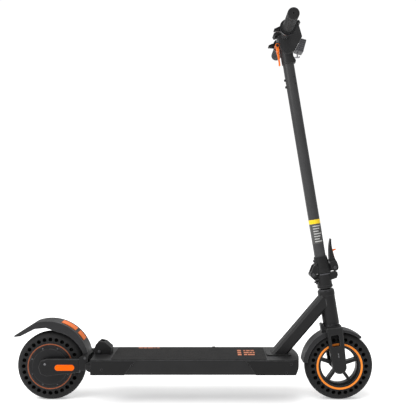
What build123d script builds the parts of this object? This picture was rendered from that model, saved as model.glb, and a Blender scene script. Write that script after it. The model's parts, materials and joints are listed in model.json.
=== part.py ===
from build123d import *
import math
import os

# Folding electric kick scooter with a spring fork, a rear hub motor and a swing arm.
# Millimetres, +X forward, +Y left, +Z up, ground at Z = 0, X and Y centred on the whole object.

os.makedirs("parts", exist_ok=True)

# ---------------------------------------------------------------- driving dimensions
overall_length = 1060.0
wheel_radius = 100.0
tyre_width = 44.0
tail_overhang = 110.0
steer_tilt = 9.4
deck_length = 599.0
deck_width = 160.0
deck_top = 134.0
deck_height = 43.0
nose_gap = 22.0
bar_width = 436.0
bar_radius = 11.0
bar_position = 987.3
stem_radius = 16.7
stem_wall = 2.5
head_tube_radius = 24.0
leg_thickness = 16.0
fork_travel = 4.5

# Fits
running = 0.05
clear = 0.3
gap = 0.6

# ---------------------------------------------------------------- derived places
rear_axle_x = -overall_length / 2 + tail_overhang
front_axle_x = overall_length / 2 - wheel_radius
deck_front = front_axle_x - wheel_radius - nose_gap
deck_rear = deck_front - deck_length
deck_bottom = deck_top - deck_height
half_deck = deck_width / 2
half_tyre = tyre_width / 2
tilt_rad = math.radians(steer_tilt)
tilt_sin = math.sin(tilt_rad)
tilt_cos = math.cos(tilt_rad)

# The steering frame: origin at the front axle, x forward across the axis, z up along the axis.
steer_frame = Plane(
    origin=(front_axle_x, 0, wheel_radius),
    x_dir=(tilt_cos, 0, tilt_sin),
    z_dir=(-tilt_sin, 0, tilt_cos),
)


def at_y(y):
    """Side plane with sketch axes +X and +Z; a positive extrude runs from y towards -Y."""
    return Plane(origin=(0, y, 0), x_dir=(1, 0, 0), z_dir=(0, -1, 0))


def steer_at_y(y):
    """Side plane in the steering frame: sketch x is forward of the axis, y is up along it."""
    return Plane(
        origin=(front_axle_x, y, wheel_radius),
        x_dir=(tilt_cos, 0, tilt_sin),
        z_dir=(0, -1, 0),
    )


def on_steer(forward, up, y=0.0):
    """Point in the row frame of a place given in the steering frame."""
    return Vector(
        front_axle_x + forward * tilt_cos - up * tilt_sin,
        y,
        wheel_radius + forward * tilt_sin + up * tilt_cos,
    )


def save(builder, name):
    """Label a finished piece and write it."""
    builder.part.label = name
    export_step(builder.part, f"parts/{name}.step")


def polar(centre, radius, degrees):
    """Point of a side view at an angle from +X."""
    angle = math.radians(degrees)
    return (centre[0] + radius * math.cos(angle), centre[1] + radius * math.sin(angle))


def sector(centre, inner, outer, start, stop):
    """Band between two arcs about one centre, added to the open sketch."""
    middle = (start + stop) / 2
    with BuildLine() as outline:
        ThreePointArc(
            polar(centre, outer, start), polar(centre, outer, middle), polar(centre, outer, stop)
        )
        Line(polar(centre, outer, stop), polar(centre, inner, stop))
        ThreePointArc(
            polar(centre, inner, stop), polar(centre, inner, middle), polar(centre, inner, start)
        )
        Line(polar(centre, inner, start), polar(centre, outer, start))
    make_face(outline.edges())


def ring_about_y(centre, inner, outer, y_low, y_high):
    """Annulus about an axis along Y, added to the open part."""
    with BuildSketch(at_y(y_high)) as ring:
        with Locations(centre):
            Circle(outer)
            Circle(inner, mode=Mode.SUBTRACT)
    extrude(ring.sketch, amount=y_high - y_low)


# ================================================================ deck
deck_wall = 3.0
mat_thickness = 1.0
shell_top = deck_top - mat_thickness
nose_bow = 10.0
nose_corner = 12.0
nose_chamfer_x = 16.0
nose_chamfer_z = 34.0
cavity_front = deck_front - 78.0
cavity_rear = deck_rear + 21.0
belly_thickness = 2.5
belly_lap = 10.0
cover_thickness = 2.0
cover_top = deck_top - 3.0
cover_drop = 0.8
port_x = deck_rear + 351.0
port_z = deck_bottom + 21.0
port_radius = 9.0
catch_pin_radius = 3.0
bolt_radius = 4.0

belly_screw_x = (cavity_rear - belly_lap / 2, cavity_front + belly_lap / 2)
belly_screw_y = (-half_deck + 20, -half_deck + 60, half_deck - 60, half_deck - 20)
belly_screw_radius = 2.0

# Places along the deck where the plastic covers are screwed on
cover_screws_at = (
    (deck_front - 148.0, deck_bottom + 28.6),
    (deck_front - 28.0, deck_bottom + 30.5),
    (deck_front - 41.0, deck_bottom + 6.0),
    (deck_rear + 32.2, deck_bottom + 14.4),
    (deck_rear + 118.0, deck_bottom + 26.3),
)
cover_screw_radius = 2.8


def deck_outline(grow):
    """Plan of the deck: square at the back, bowed nose with round corners."""
    side = half_deck + grow
    nose = deck_front + grow
    with BuildLine() as outline:
        Line((deck_rear, side), (nose - nose_bow, side))
        ThreePointArc((nose - nose_bow, side), (nose, 0), (nose - nose_bow, -side))
        Line((nose - nose_bow, -side), (deck_rear, -side))
        Line((deck_rear, -side), (deck_rear, side))
    make_face(outline.edges())


with BuildPart() as deck_shell:
    with BuildSketch(Plane.XY.offset(deck_bottom)):
        deck_outline(0)
    extrude(amount=shell_top - deck_bottom)
    fillet(deck_shell.edges().filter_by(Axis.Z).group_by(Axis.X)[-1], nose_corner)
    # Underside of the nose slopes back
    with BuildSketch(at_y(half_deck + 1)):
        with BuildLine():
            Polyline(
                (deck_front - nose_chamfer_x, deck_bottom),
                (deck_front, deck_bottom + nose_chamfer_z),
                (deck_front + 20, deck_bottom + nose_chamfer_z),
                (deck_front + 20, deck_bottom - 5),
                (deck_front - nose_chamfer_x, deck_bottom - 5),
                close=True,
            )
        make_face()
    extrude(amount=deck_width + 2, mode=Mode.SUBTRACT)
    # Battery bay, open below
    bay_centre = (cavity_front + cavity_rear) / 2
    bay_length = cavity_front - cavity_rear
    with BuildSketch(Plane.XY.offset(deck_bottom)):
        with Locations((bay_centre, 0)):
            RectangleRounded(bay_length, deck_width - 2 * deck_wall, 6)
    extrude(amount=shell_top - deck_bottom - deck_wall, mode=Mode.SUBTRACT)
    # Rebate for the belly cover at both ends of the bay
    with BuildSketch(Plane.XY.offset(deck_bottom)):
        with Locations((bay_centre, 0)):
            RectangleRounded(bay_length + 2 * belly_lap, deck_width - 2 * deck_wall, 6)
    extrude(amount=belly_thickness, mode=Mode.SUBTRACT)
    with BuildSketch(Plane.XY.offset(deck_bottom)):
        with Locations(*[(x, y) for x in belly_screw_x for y in belly_screw_y]):
            Circle(belly_screw_radius)
    extrude(amount=14, mode=Mode.SUBTRACT)
    # Charging socket hole in the left wall
    with BuildSketch(at_y(half_deck + 1)):
        with Locations((port_x, port_z)):
            Circle(port_radius)
    extrude(amount=deck_wall + 2, mode=Mode.SUBTRACT)
    # Cover screw holes, both sides
    for side_y in (half_deck + 1, -half_deck + deck_wall):
        with BuildSketch(at_y(side_y)):
            with Locations(*cover_screws_at):
                Circle(1.5)
        extrude(amount=deck_wall + 1, mode=Mode.SUBTRACT)
save(deck_shell, "deck_shell")

with BuildPart() as deck_mat:
    mat_rear = deck_rear + 57.0
    mat_front = deck_front - 96.0
    with BuildSketch(Plane.XY.offset(shell_top)):
        with Locations(((mat_rear + mat_front) / 2, 0)):
            RectangleRounded(mat_front - mat_rear, deck_width - 8, 8)
    extrude(amount=mat_thickness)
save(deck_mat, "deck_mat")

with BuildPart() as belly_cover:
    with BuildSketch(Plane.XY.offset(deck_bottom)):
        with Locations((bay_centre, 0)):
            RectangleRounded(
                bay_length + 2 * belly_lap - 2 * clear, deck_width - 2 * deck_wall - 2 * clear, 5.7
            )
    extrude(amount=belly_thickness)
    with BuildSketch(Plane.XY.offset(deck_bottom)):
        with Locations(*[(x, y) for x in belly_screw_x for y in belly_screw_y]):
            Circle(belly_screw_radius + clear)
    extrude(amount=belly_thickness, mode=Mode.SUBTRACT)
save(belly_cover, "belly_cover")

with BuildPart() as deck_screws:
    for x in belly_screw_x:
        for y in belly_screw_y:
            with BuildSketch(Plane.XY.offset(deck_bottom)):
                with Locations((x, y)):
                    Circle(belly_screw_radius)
            extrude(amount=12)
            with BuildSketch(Plane.XY.offset(deck_bottom)):
                with Locations((x, y)):
                    Circle(belly_screw_radius + 1.8)
            extrude(amount=-1.6)
    for side in (1, -1):
        for x, z in cover_screws_at:
            head_y = half_deck + 1.3 if side > 0 else -half_deck - 0.05
            shank_y = half_deck + 0.05 if side > 0 else -half_deck + deck_wall
            with BuildSketch(at_y(head_y)):
                with Locations((x, z)):
                    Circle(cover_screw_radius)
            extrude(amount=1.25)
            with BuildSketch(at_y(shank_y)):
                with Locations((x, z)):
                    Circle(1.5)
            extrude(amount=deck_wall + 0.05)
save(deck_screws, "deck_screws")

# The room that the nose takes up inside the plastic band
with BuildPart() as nose_block:
    with BuildSketch(Plane.XY.offset(deck_bottom - cover_drop - 1)):
        deck_outline(0.05)
    extrude(amount=deck_height + 4)
    fillet(nose_block.edges().filter_by(Axis.Z).group_by(Axis.X)[-1], nose_corner)

# Plastic band round the nose, with slanted rear ends
with BuildPart() as front_cover:
    with BuildSketch(Plane.XY.offset(deck_bottom - cover_drop)):
        deck_outline(cover_thickness)
    extrude(amount=cover_top - deck_bottom + cover_drop)
    fillet(front_cover.edges().filter_by(Axis.Z).group_by(Axis.X)[-1], nose_corner + cover_thickness)
    with BuildSketch(at_y(half_deck + 10)):
        with BuildLine():
            Polyline(
                (deck_front - 159, cover_top + 1),
                (deck_front - 148, cover_top - 11.4),
                (deck_front - 125, deck_bottom - 5),
                (deck_front - nose_chamfer_x + cover_thickness - 2, deck_bottom - 5),
                (deck_front + cover_thickness + 1, deck_bottom + nose_chamfer_z - 1),
                (deck_front + cover_thickness + 1, cover_top + 1),
                close=True,
            )
        make_face()
    extrude(amount=deck_width + 20, mode=Mode.INTERSECT)
    add(nose_block.part, mode=Mode.SUBTRACT)
    for side_y in (half_deck + 5, -half_deck + 1):
        with BuildSketch(at_y(side_y)):
            with Locations(*cover_screws_at[:3]):
                Circle(cover_screw_radius + clear)
        extrude(amount=6, mode=Mode.SUBTRACT)
save(front_cover, "front_cover")

with BuildPart() as rear_side_covers:
    for outer_y in (half_deck + cover_thickness, -half_deck - 0.05):
        with BuildSketch(at_y(outer_y)):
            with BuildLine():
                Polyline(
                    (deck_rear, cover_top),
                    (deck_rear + 130, cover_top),
                    (deck_rear + 116, deck_bottom + 26),
                    (deck_rear + 96.5, deck_bottom - cover_drop),
                    (deck_rear, deck_bottom - cover_drop),
                    close=True,
                )
            make_face()
            with Locations(*cover_screws_at[3:]):
                Circle(cover_screw_radius + clear, mode=Mode.SUBTRACT)
        extrude(amount=cover_thickness - 0.05)
save(rear_side_covers, "rear_side_covers")

with BuildPart() as battery_pack:
    with BuildSketch(Plane.XY.offset(deck_bottom + belly_thickness + 1)):
        with Locations((cavity_front - 172, 0)):
            RectangleRounded(330, deck_width - 34, 8)
    extrude(amount=deck_height - mat_thickness - deck_wall - belly_thickness - 3)
save(battery_pack, "battery_pack")

with BuildPart() as controller:
    with BuildSketch(Plane.XY.offset(deck_bottom + belly_thickness + 1)):
        with Locations((cavity_rear + 72, 0)):
            RectangleRounded(118, deck_width - 60, 5)
    extrude(amount=deck_height - mat_thickness - deck_wall - belly_thickness - 8)
    with BuildSketch(Plane.XY.offset(deck_bottom + belly_thickness + 12)):
        with GridLocations(0, 12, 1, 7):
            with Locations((cavity_rear + 72, 0)):
                Rectangle(112, 4)
    extrude(amount=-12, mode=Mode.SUBTRACT)
save(controller, "controller")

# Charging socket and its rubber flap, left side
port_face_y = half_deck + 1.5
cap_hinge_z = port_z + port_radius + 5.5
cap_low_y = port_face_y + clear
cap_thickness = 2.5
cap_axis_z = cap_hinge_z - 1.5
cap_barrel = 1.4
with BuildPart() as charge_port:
    ring_about_y((port_x, port_z), port_radius - 3, port_radius, half_deck - 6, port_face_y)
    with BuildSketch(at_y(half_deck - 1.5)):
        with Locations((port_x, port_z)):
            Circle(port_radius)
    extrude(amount=4.5)
    with BuildSketch(at_y(port_face_y)):
        with Locations((port_x, port_z)):
            Circle(port_radius + 2.5)
            Circle(port_radius - 3, mode=Mode.SUBTRACT)
    extrude(amount=port_face_y - half_deck)
    with BuildSketch(at_y(cap_low_y + cap_thickness)):
        with Locations((port_x, cap_hinge_z + 4)):
            RectangleRounded(10, 7, 1.5)
    extrude(amount=cap_low_y + cap_thickness - half_deck)
save(charge_port, "charge_port")

with BuildPart() as charge_cap:
    with BuildSketch(at_y(cap_low_y + cap_thickness)):
        with Locations((port_x, port_z)):
            Circle(port_radius + 2.5)
        with Locations((port_x, (port_z + cap_axis_z) / 2)):
            Rectangle(8, cap_axis_z - port_z)
        with Locations((port_x, port_z - port_radius - 2)):
            Rectangle(8, 4)
    extrude(amount=cap_thickness)
    with BuildSketch(Plane.YZ.offset(port_x - 4)):
        with Locations((cap_low_y + cap_thickness, cap_axis_z)):
            Circle(cap_barrel)
    extrude(amount=8)
save(charge_cap, "charge_cap")

# Catch for the folding hook, on top of the deck at the back
catch_half = 18.0
catch_rear = deck_rear - 4.0
catch_front = catch_rear + 53.0
catch_top = shell_top + 40.0
catch_slot = 10.6
catch_pin_at = (catch_rear + 16.0, catch_top - 9.0)
with BuildPart() as latch_catch:
    with BuildSketch(at_y(catch_half)):
        with BuildLine():
            Polyline(
                (deck_rear, shell_top),
                (catch_front, shell_top),
                (catch_front, shell_top + 20),
                (catch_front - 19, catch_top - 3),
                (catch_front - 34, catch_top),
                (catch_rear + 8, catch_top - 9),
                (catch_rear, shell_top + 12),
                (deck_rear, shell_top + 6),
                close=True,
            )
        make_face()
    extrude(amount=2 * catch_half)
    chamfer(latch_catch.faces().sort_by(Axis.Z)[-1].edges().filter_by(Axis.X, tolerance=12), 2)
    # Throat that the hook drops into, open at the top and back
    with BuildSketch(at_y(catch_slot)):
        with BuildLine():
            Polyline(
                (catch_rear - 2, shell_top + 14),
                (catch_rear + 32, shell_top + 14),
                (catch_rear + 32, catch_top + 5),
                (catch_rear - 2, catch_top + 5),
                close=True,
            )
        make_face()
    extrude(amount=2 * catch_slot, mode=Mode.SUBTRACT)
    with BuildSketch(at_y(catch_half)):
        with Locations(catch_pin_at):
            Circle(catch_pin_radius)
    extrude(amount=2 * catch_half)
save(latch_catch, "latch_catch")

# Kickstand, folded back under the left edge of the deck
stand_x = deck_rear + 281.0
stand_y = half_deck - 15.0
stand_z = deck_bottom - 12.0
stand_length = 78.0
stand_lean = 15.0
lean_rad = math.radians(stand_lean)
stand_frame = Plane(
    origin=(stand_x, stand_y, stand_z),
    x_dir=(-1, 0, 0),
    z_dir=(0, -math.cos(lean_rad), -math.sin(lean_rad)),
)
stand_shank = 26.0
stand_foot = 14.0
stand_leg_plane = Plane(
    origin=(stand_x - stand_shank, stand_y, stand_z),
    x_dir=(0, 0, 1),
    z_dir=(-1, 0, 0),
)
stand_foot_plane = stand_leg_plane.offset(stand_length - stand_foot - stand_shank)
with BuildPart() as stand_bracket:
    with BuildSketch(Plane.XY.offset(deck_bottom)):
        with Locations((stand_x - 2, stand_y - 4)):
            RectangleRounded(34, 30, 4)
    extrude(amount=-3)
    with BuildSketch(stand_frame.offset(9)):
        with BuildLine():
            Polyline((-8, 6), (8, 6), (9, -14), (-9, -14), close=True)
        make_face()
    extrude(amount=-3)
    with BuildSketch(stand_frame.offset(-6)):
        with BuildLine():
            Polyline((-8, 6), (8, 6), (9, -14), (-9, -14), close=True)
        make_face()
    extrude(amount=-3)
    split(bisect_by=Plane.XY.offset(deck_bottom), keep=Keep.BOTTOM)
    with BuildSketch(stand_frame.offset(11)):
        Circle(bolt_radius + 2)
    extrude(amount=-2)
    with BuildSketch(stand_frame.offset(-9)):
        Circle(bolt_radius + 2)
    extrude(amount=-2)
    with BuildSketch(stand_frame.offset(9)):
        Circle(bolt_radius)
    extrude(amount=-18)
save(stand_bracket, "stand_bracket")

with BuildPart() as kickstand:
    with BuildSketch(stand_frame.offset(5.6)):
        Circle(7.6)
        with Locations((14, 0)):
            Rectangle(28, 10)
        Circle(bolt_radius + running, mode=Mode.SUBTRACT)
    extrude(amount=-11.2)
    with BuildSketch(stand_leg_plane):
        Circle(5.5)
    extrude(amount=stand_length - stand_shank)
    with BuildSketch(stand_foot_plane):
        Circle(7.5)
    extrude(amount=stand_foot)
save(kickstand, "kickstand")

# ================================================================ down tube and head tube
tube_slope = 49.35
tube_depth = 36.5
tube_width = 46.0
tube_wall = 2.5
tube_foot_x = deck_front - 56.6
head_low = 124.0
head_high = 225.0
head_bore = 19.0
steerer_radius = 15.0
slope_rad = math.radians(tube_slope)
tube_frame = Plane(
    origin=(tube_foot_x, 0, shell_top),
    x_dir=(math.sin(slope_rad), 0, -math.cos(slope_rad)),
    z_dir=(math.cos(slope_rad), 0, math.sin(slope_rad)),
)
# Distance along the down tube's axis from the deck to the steering axis
tube_reach = (
    (front_axle_x - tube_foot_x) * tilt_cos - (shell_top - wheel_radius) * tilt_sin
) / math.cos(slope_rad - tilt_rad)

with BuildPart() as down_tube:
    with BuildSketch(tube_frame.offset(-40)):
        tube_face = Rectangle(tube_depth, tube_width)
        chamfer(tube_face.vertices(), 6)
    extrude(amount=tube_reach + 32)
    with BuildSketch(tube_frame.offset(-40)):
        tube_hollow = Rectangle(tube_depth - 2 * tube_wall, tube_width - 2 * tube_wall)
        chamfer(tube_hollow.vertices(), 5)
    extrude(amount=tube_reach + 6, mode=Mode.SUBTRACT)
    split(bisect_by=Plane.XY.offset(shell_top), keep=Keep.TOP)
    with BuildSketch(Plane.XY.offset(shell_top)):
        with Locations((tube_foot_x, 0)):
            RectangleRounded(72, tube_width + 20, 9)
            Rectangle(tube_depth / math.sin(slope_rad) - 4, tube_width - 4, mode=Mode.SUBTRACT)
    extrude(amount=3.5)
    with BuildSketch(steer_frame.offset(head_low - 60)):
        Circle(head_tube_radius)
    extrude(amount=200, mode=Mode.SUBTRACT)
    with BuildSketch(steer_frame.offset(head_high - 15)):
        Circle(head_tube_radius + 1)
    extrude(amount=20, mode=Mode.SUBTRACT)
save(down_tube, "down_tube")

with BuildPart() as head_tube:
    with BuildSketch(steer_frame.offset(head_low)):
        Circle(head_tube_radius)
        Circle(head_bore, mode=Mode.SUBTRACT)
    extrude(amount=head_high - head_low)
    with BuildSketch(steer_frame.offset(head_high - 15)):
        Circle(head_tube_radius + 1)
        Circle(head_bore, mode=Mode.SUBTRACT)
    extrude(amount=13)
save(head_tube, "head_tube")

with BuildPart() as headset_bearings:
    for start in (head_low - 3, head_high):
        with BuildSketch(steer_frame.offset(start)):
            Circle(22)
            Circle(steerer_radius + 1, mode=Mode.SUBTRACT)
        extrude(amount=3)
    for start in (head_low, head_high - 8):
        with BuildSketch(steer_frame.offset(start)):
            Circle(head_bore)
            Circle(steerer_radius + running, mode=Mode.SUBTRACT)
        extrude(amount=8)
save(headset_bearings, "headset_bearings")

# ================================================================ fork and steering column
collar_low = head_high + 8.0
hinge_up = 277.0
hinge_back = 32.0
collar_radius = 22.0
crown_low = 111.5
crown_high = 119.0
leg_low_y = half_tyre + 5.0
leg_high_y = leg_low_y + leg_thickness
leg_back = 23.5
leg_front = 24.5
leg_front_low = 17.0
axle_radius = 6.0
carrier_radius = 11.0
carrier_top = 22.0
pocket_top = 57.0

crown_back = (leg_back + leg_front) / 2
with BuildPart() as fork_crown:
    with BuildSketch(steer_frame.offset(crown_low)):
        RectangleRounded(2 * crown_back, 2 * leg_low_y, 3)
    extrude(amount=crown_high - crown_low)
    with BuildSketch(steer_frame.offset(crown_high)):
        Circle(crown_back - 1)
    extrude(amount=head_low - 3.4 - crown_high)
    with BuildSketch(steer_frame.offset(crown_low)):
        Circle(steerer_radius)
    extrude(amount=collar_low + 20 - crown_low)
    with BuildSketch(steer_frame.offset(crown_low)):
        Circle(steerer_radius - 3)
    extrude(amount=200, mode=Mode.SUBTRACT)
save(fork_crown, "fork_crown")

with BuildPart() as fork_legs:
    for side in (1, -1):
        outer_y = leg_high_y if side > 0 else -leg_low_y
        with BuildSketch(steer_at_y(outer_y)):
            with BuildLine():
                Polyline(
                    (-leg_back, 4),
                    (-leg_back, crown_high - 2),
                    (-leg_back + 3, crown_high + 1),
                    (leg_front - 3, crown_high - 2),
                    (leg_front, crown_high - 6),
                    (leg_front_low, 4),
                    (-leg_back, 4),
                )
            make_face()
            with Locations((-3, 3)):
                Circle(20.3)
        extrude(amount=leg_thickness)
    for end in (-1, 0):
        chamfer(fork_legs.faces().sort_by(Axis.Y)[end].outer_wire().edges(), 2)
    # Window
    with BuildSketch(steer_at_y(leg_high_y)):
        with Locations((-3, 80)):
            RectangleRounded(24, 34, 4)
    extrude(amount=2 * leg_high_y, mode=Mode.SUBTRACT)
    # Narrow guide slot in the outer wall
    for slot_y in (leg_high_y, -leg_high_y + 4):
        with BuildSketch(steer_at_y(slot_y)):
            with Locations((0.5, 35)):
                RectangleRounded(3.5, 16, 1.2)
        extrude(amount=4, mode=Mode.SUBTRACT)
    # Pockets for the sprung axle carriers, entered from the inner face by the axle
    for pocket_y in (leg_high_y - 4, -leg_low_y - 3):
        with BuildSketch(steer_at_y(pocket_y)):
            Circle(carrier_radius + clear)
            with Locations((0, pocket_top / 2)):
                Rectangle(2 * carrier_radius + 2 * clear, pocket_top)
        extrude(amount=leg_thickness - 7, mode=Mode.SUBTRACT)
    for mouth_y in (leg_low_y + 3, -leg_low_y):
        with BuildSketch(steer_at_y(mouth_y)):
            with Locations((0, (fork_travel + gap) / 2)):
                SlotOverall(
                    2 * axle_radius + 2 * gap + fork_travel + gap,
                    2 * axle_radius + 2 * gap,
                    rotation=90,
                )
        extrude(amount=3, mode=Mode.SUBTRACT)
save(fork_legs, "fork_legs")

with BuildPart() as axle_carriers:
    for pocket_y in (leg_high_y - 4 - clear, -leg_low_y - 3 - clear):
        with BuildSketch(steer_at_y(pocket_y)):
            Circle(carrier_radius)
            with Locations((0, carrier_top / 2)):
                Rectangle(2 * carrier_radius, carrier_top)
            Circle(axle_radius, mode=Mode.SUBTRACT)
        extrude(amount=leg_thickness - 7 - 2 * clear)
save(axle_carriers, "axle_carriers")

with BuildPart() as front_axle:
    with BuildSketch(steer_at_y(leg_high_y - 4 - clear)):
        Circle(axle_radius)
    extrude(amount=2 * (leg_high_y - 4 - clear))
save(front_axle, "front_axle")

# Coil springs between the carriers and the top of the pockets
spring_low = carrier_top
spring_high = pocket_top - fork_travel - gap
spring_wire = 1.5
spring_mean = 2.8
spring_turns = 7
with BuildPart() as fork_springs:
    for spring_y in (leg_high_y - 8.5, -leg_high_y + 8.5):
        spring_centre = on_steer(0, 0, spring_y)
        coil_plane = Plane(origin=spring_centre, x_dir=steer_frame.x_dir, z_dir=steer_frame.z_dir)
        pitch = (spring_high - spring_low - 2 * spring_wire) / spring_turns
        for turn in range(spring_turns):
            ring_plane = coil_plane.offset(spring_low + spring_wire + (turn + 0.5) * pitch)
            with BuildSketch(ring_plane):
                Circle(spring_mean + spring_wire / 2)
                Circle(spring_mean - spring_wire / 2, mode=Mode.SUBTRACT)
            extrude(amount=spring_wire, both=True)
        with BuildSketch(coil_plane.offset(spring_low)):
            Circle(spring_mean - spring_wire / 2 + 0.3)
        extrude(amount=spring_high - spring_low)
save(fork_springs, "fork_springs")

# Front fender, fixed to the crown
fender_inner = wheel_radius + 6.0
fender_outer = fender_inner + 2.5
fender_half = half_tyre + 4.5
fender_front = 53.5
fender_rear = 173.5
skirt_wall = 2.2
front_centre = (front_axle_x, wheel_radius)
with BuildPart() as front_fender:
    with BuildSketch(at_y(fender_half)):
        sector(front_centre, fender_inner, fender_outer, fender_front, fender_rear)
    extrude(amount=2 * fender_half)
    for skirt_y in (fender_half, -fender_half + skirt_wall):
        with BuildSketch(at_y(skirt_y)):
            sector(front_centre, wheel_radius - 5, fender_inner + 0.5, 110, fender_rear)
        extrude(amount=skirt_wall)
        with BuildSketch(at_y(skirt_y)):
            sector(front_centre, wheel_radius + 1, fender_inner + 0.5, fender_front, 112)
        extrude(amount=skirt_wall)
    # Bracket that holds the fender to the back of the crown
    with BuildSketch(steer_at_y(12)):
        with BuildLine():
            Polyline(
                (-crown_back, fender_outer - 12),
                (-crown_back, fender_outer + 11.5),
                (-crown_back - 3, fender_outer + 21.5),
                (-crown_back - 10, fender_outer + 19.5),
                (-crown_back - 10, fender_outer - 12),
                close=True,
            )
        make_face()
    extrude(amount=24)
    with BuildSketch(at_y(13)):
        with Locations(front_centre):
            Circle(fender_inner + 0.5)
    extrude(amount=26, mode=Mode.SUBTRACT)
save(front_fender, "front_fender")

# Lower half of the fold joint, clamped on the steerer
knuckle_half = 9.6
knuckle_radius = 8.5
hinge_pin_radius = 4.0
lug_half = 6.0
with BuildPart() as lower_collar:
    with BuildSketch(steer_frame.offset(collar_low)):
        Circle(collar_radius + 1)
    extrude(amount=7)
    with BuildSketch(steer_frame.offset(collar_low + 7)):
        Circle(collar_radius)
    extrude(amount=hinge_up - 5 - collar_low - 7)
    with BuildSketch(steer_at_y(knuckle_half)):
        with Locations((-hinge_back, hinge_up)):
            Circle(knuckle_radius)
        with BuildLine():
            Polyline(
                (-hinge_back - 6, hinge_up - 6),
                (-collar_radius + 3, hinge_up - 30),
                (-collar_radius + 8, hinge_up - 8),
                (-collar_radius + 8, hinge_up - 5),
                (-hinge_back + 3, hinge_up + 3),
                close=True,
            )
        make_face()
    extrude(amount=2 * knuckle_half)
    with BuildSketch(steer_at_y(13)):
        with BuildLine():
            Polyline(
                (collar_radius - 6, hinge_up - 2),
                (collar_radius + 19, hinge_up - 2),
                (collar_radius + 19, hinge_up - 13),
                (collar_radius + 14, hinge_up - 21),
                (collar_radius - 6, hinge_up - 24),
                close=True,
            )
        lug_face = make_face()
        fillet(lug_face.vertices().group_by(Axis.X)[-1], 3)
    extrude(amount=26)
    with BuildSketch(steer_frame.offset(collar_low)):
        Circle(steerer_radius)
    extrude(amount=20, mode=Mode.SUBTRACT)
    with BuildSketch(steer_frame.offset(collar_low + 20)):
        Circle(steerer_radius - 3)
    extrude(amount=40, mode=Mode.SUBTRACT)
    with BuildSketch(steer_at_y(knuckle_half + 1)):
        with Locations((-hinge_back, hinge_up)):
            Circle(hinge_pin_radius)
    extrude(amount=2 * knuckle_half + 2, mode=Mode.SUBTRACT)
save(lower_collar, "lower_collar")

with BuildPart() as hinge_hardware:
    with BuildSketch(steer_at_y(20)):
        with Locations((-hinge_back, hinge_up)):
            Circle(hinge_pin_radius)
    extrude(amount=40)
    # Clamp screws across the back of the lower collar
    for height in (hinge_up - 16, hinge_up - 27):
        bolt_plane = Plane(
            origin=on_steer(0, height, 0),
            x_dir=(0, 1, 0),
            z_dir=(-tilt_cos, 0, -tilt_sin),
        )
        for bolt_y in (-14, 14):
            with BuildSketch(bolt_plane.offset(18.5)):
                with Locations((bolt_y, 0)):
                    Circle(3)
            extrude(amount=9)
            with BuildSketch(bolt_plane.offset(27.5)):
                with Locations((bolt_y, 0)):
                    Circle(1.6)
            extrude(amount=-2, mode=Mode.SUBTRACT)
    with BuildSketch(steer_frame.offset(collar_low - 1)):
        Circle(collar_radius)
    extrude(amount=60, mode=Mode.SUBTRACT)
save(hinge_hardware, "hinge_hardware")

# ================================================================ upper fold joint and stem
upper_low = hinge_up + 1.0
upper_flange = upper_low + 12.0
upper_top = upper_low + 48.0
flange_radius = 24.0
stem_low = upper_low + 6.0
stem_high = bar_position - bar_radius - 1.5
lever_pivot = (36.0, hinge_up + 11.0)
lever_eye = 10.5
lever_half = 14.0
lever_pin_radius = 3.0

with BuildPart() as upper_collar:
    with BuildSketch(steer_frame.offset(upper_low)):
        Circle(flange_radius)
    extrude(amount=upper_flange - upper_low)
    with BuildSketch(steer_frame.offset(upper_flange)):
        Circle(flange_radius)
    with BuildSketch(steer_frame.offset(upper_top)):
        Circle(stem_radius + 2.5)
    loft()
    # Ears of the hinge, either side of the lower knuckle
    for ear_y in (20.0, -knuckle_half - clear):
        with BuildSketch(steer_at_y(ear_y)):
            with Locations((-hinge_back, hinge_up)):
                Circle(knuckle_radius)
            with BuildLine():
                Polyline(
                    (-hinge_back - 6.5, hinge_up + 5),
                    (-hinge_back, hinge_up + 1),
                    (-flange_radius + 8, upper_low),
                    (-flange_radius + 8, upper_low + 30),
                    (-flange_radius - 3, upper_low + 24),
                    close=True,
                )
            make_face()
        extrude(amount=20.0 - knuckle_half - clear)
    with BuildSketch(steer_at_y(knuckle_half + clear)):
        with Locations((-hinge_back, hinge_up)):
            Circle(knuckle_radius + gap)
            with Locations((2, -14)):
                Rectangle(30, 30)
    extrude(amount=2 * knuckle_half + 2 * clear, mode=Mode.SUBTRACT)
    # Front lug for the lever
    with BuildSketch(steer_at_y(lug_half)):
        with Locations(lever_pivot):
            Circle(8.8)
        with Locations(((lever_pivot[0] + 16) / 2, lever_pivot[1])):
            Rectangle(lever_pivot[0] - 16, 17.6)
    extrude(amount=2 * lug_half)
    with BuildSketch(steer_frame.offset(stem_low)):
        Circle(stem_radius)
    extrude(amount=60, mode=Mode.SUBTRACT)
    with BuildSketch(steer_frame.offset(upper_low)):
        Circle(stem_radius - stem_wall)
    extrude(amount=10, mode=Mode.SUBTRACT)
    with BuildSketch(steer_at_y(30)):
        with Locations((-hinge_back, hinge_up)):
            Circle(hinge_pin_radius + running)
        with Locations(lever_pivot):
            Circle(lever_pin_radius)
    extrude(amount=60, mode=Mode.SUBTRACT)
save(upper_collar, "upper_collar")

with BuildPart() as stem_tube:
    with BuildSketch(steer_frame.offset(stem_low)):
        Circle(stem_radius)
        Circle(stem_radius - stem_wall, mode=Mode.SUBTRACT)
    extrude(amount=stem_high - stem_low)
save(stem_tube, "stem_tube")

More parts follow.
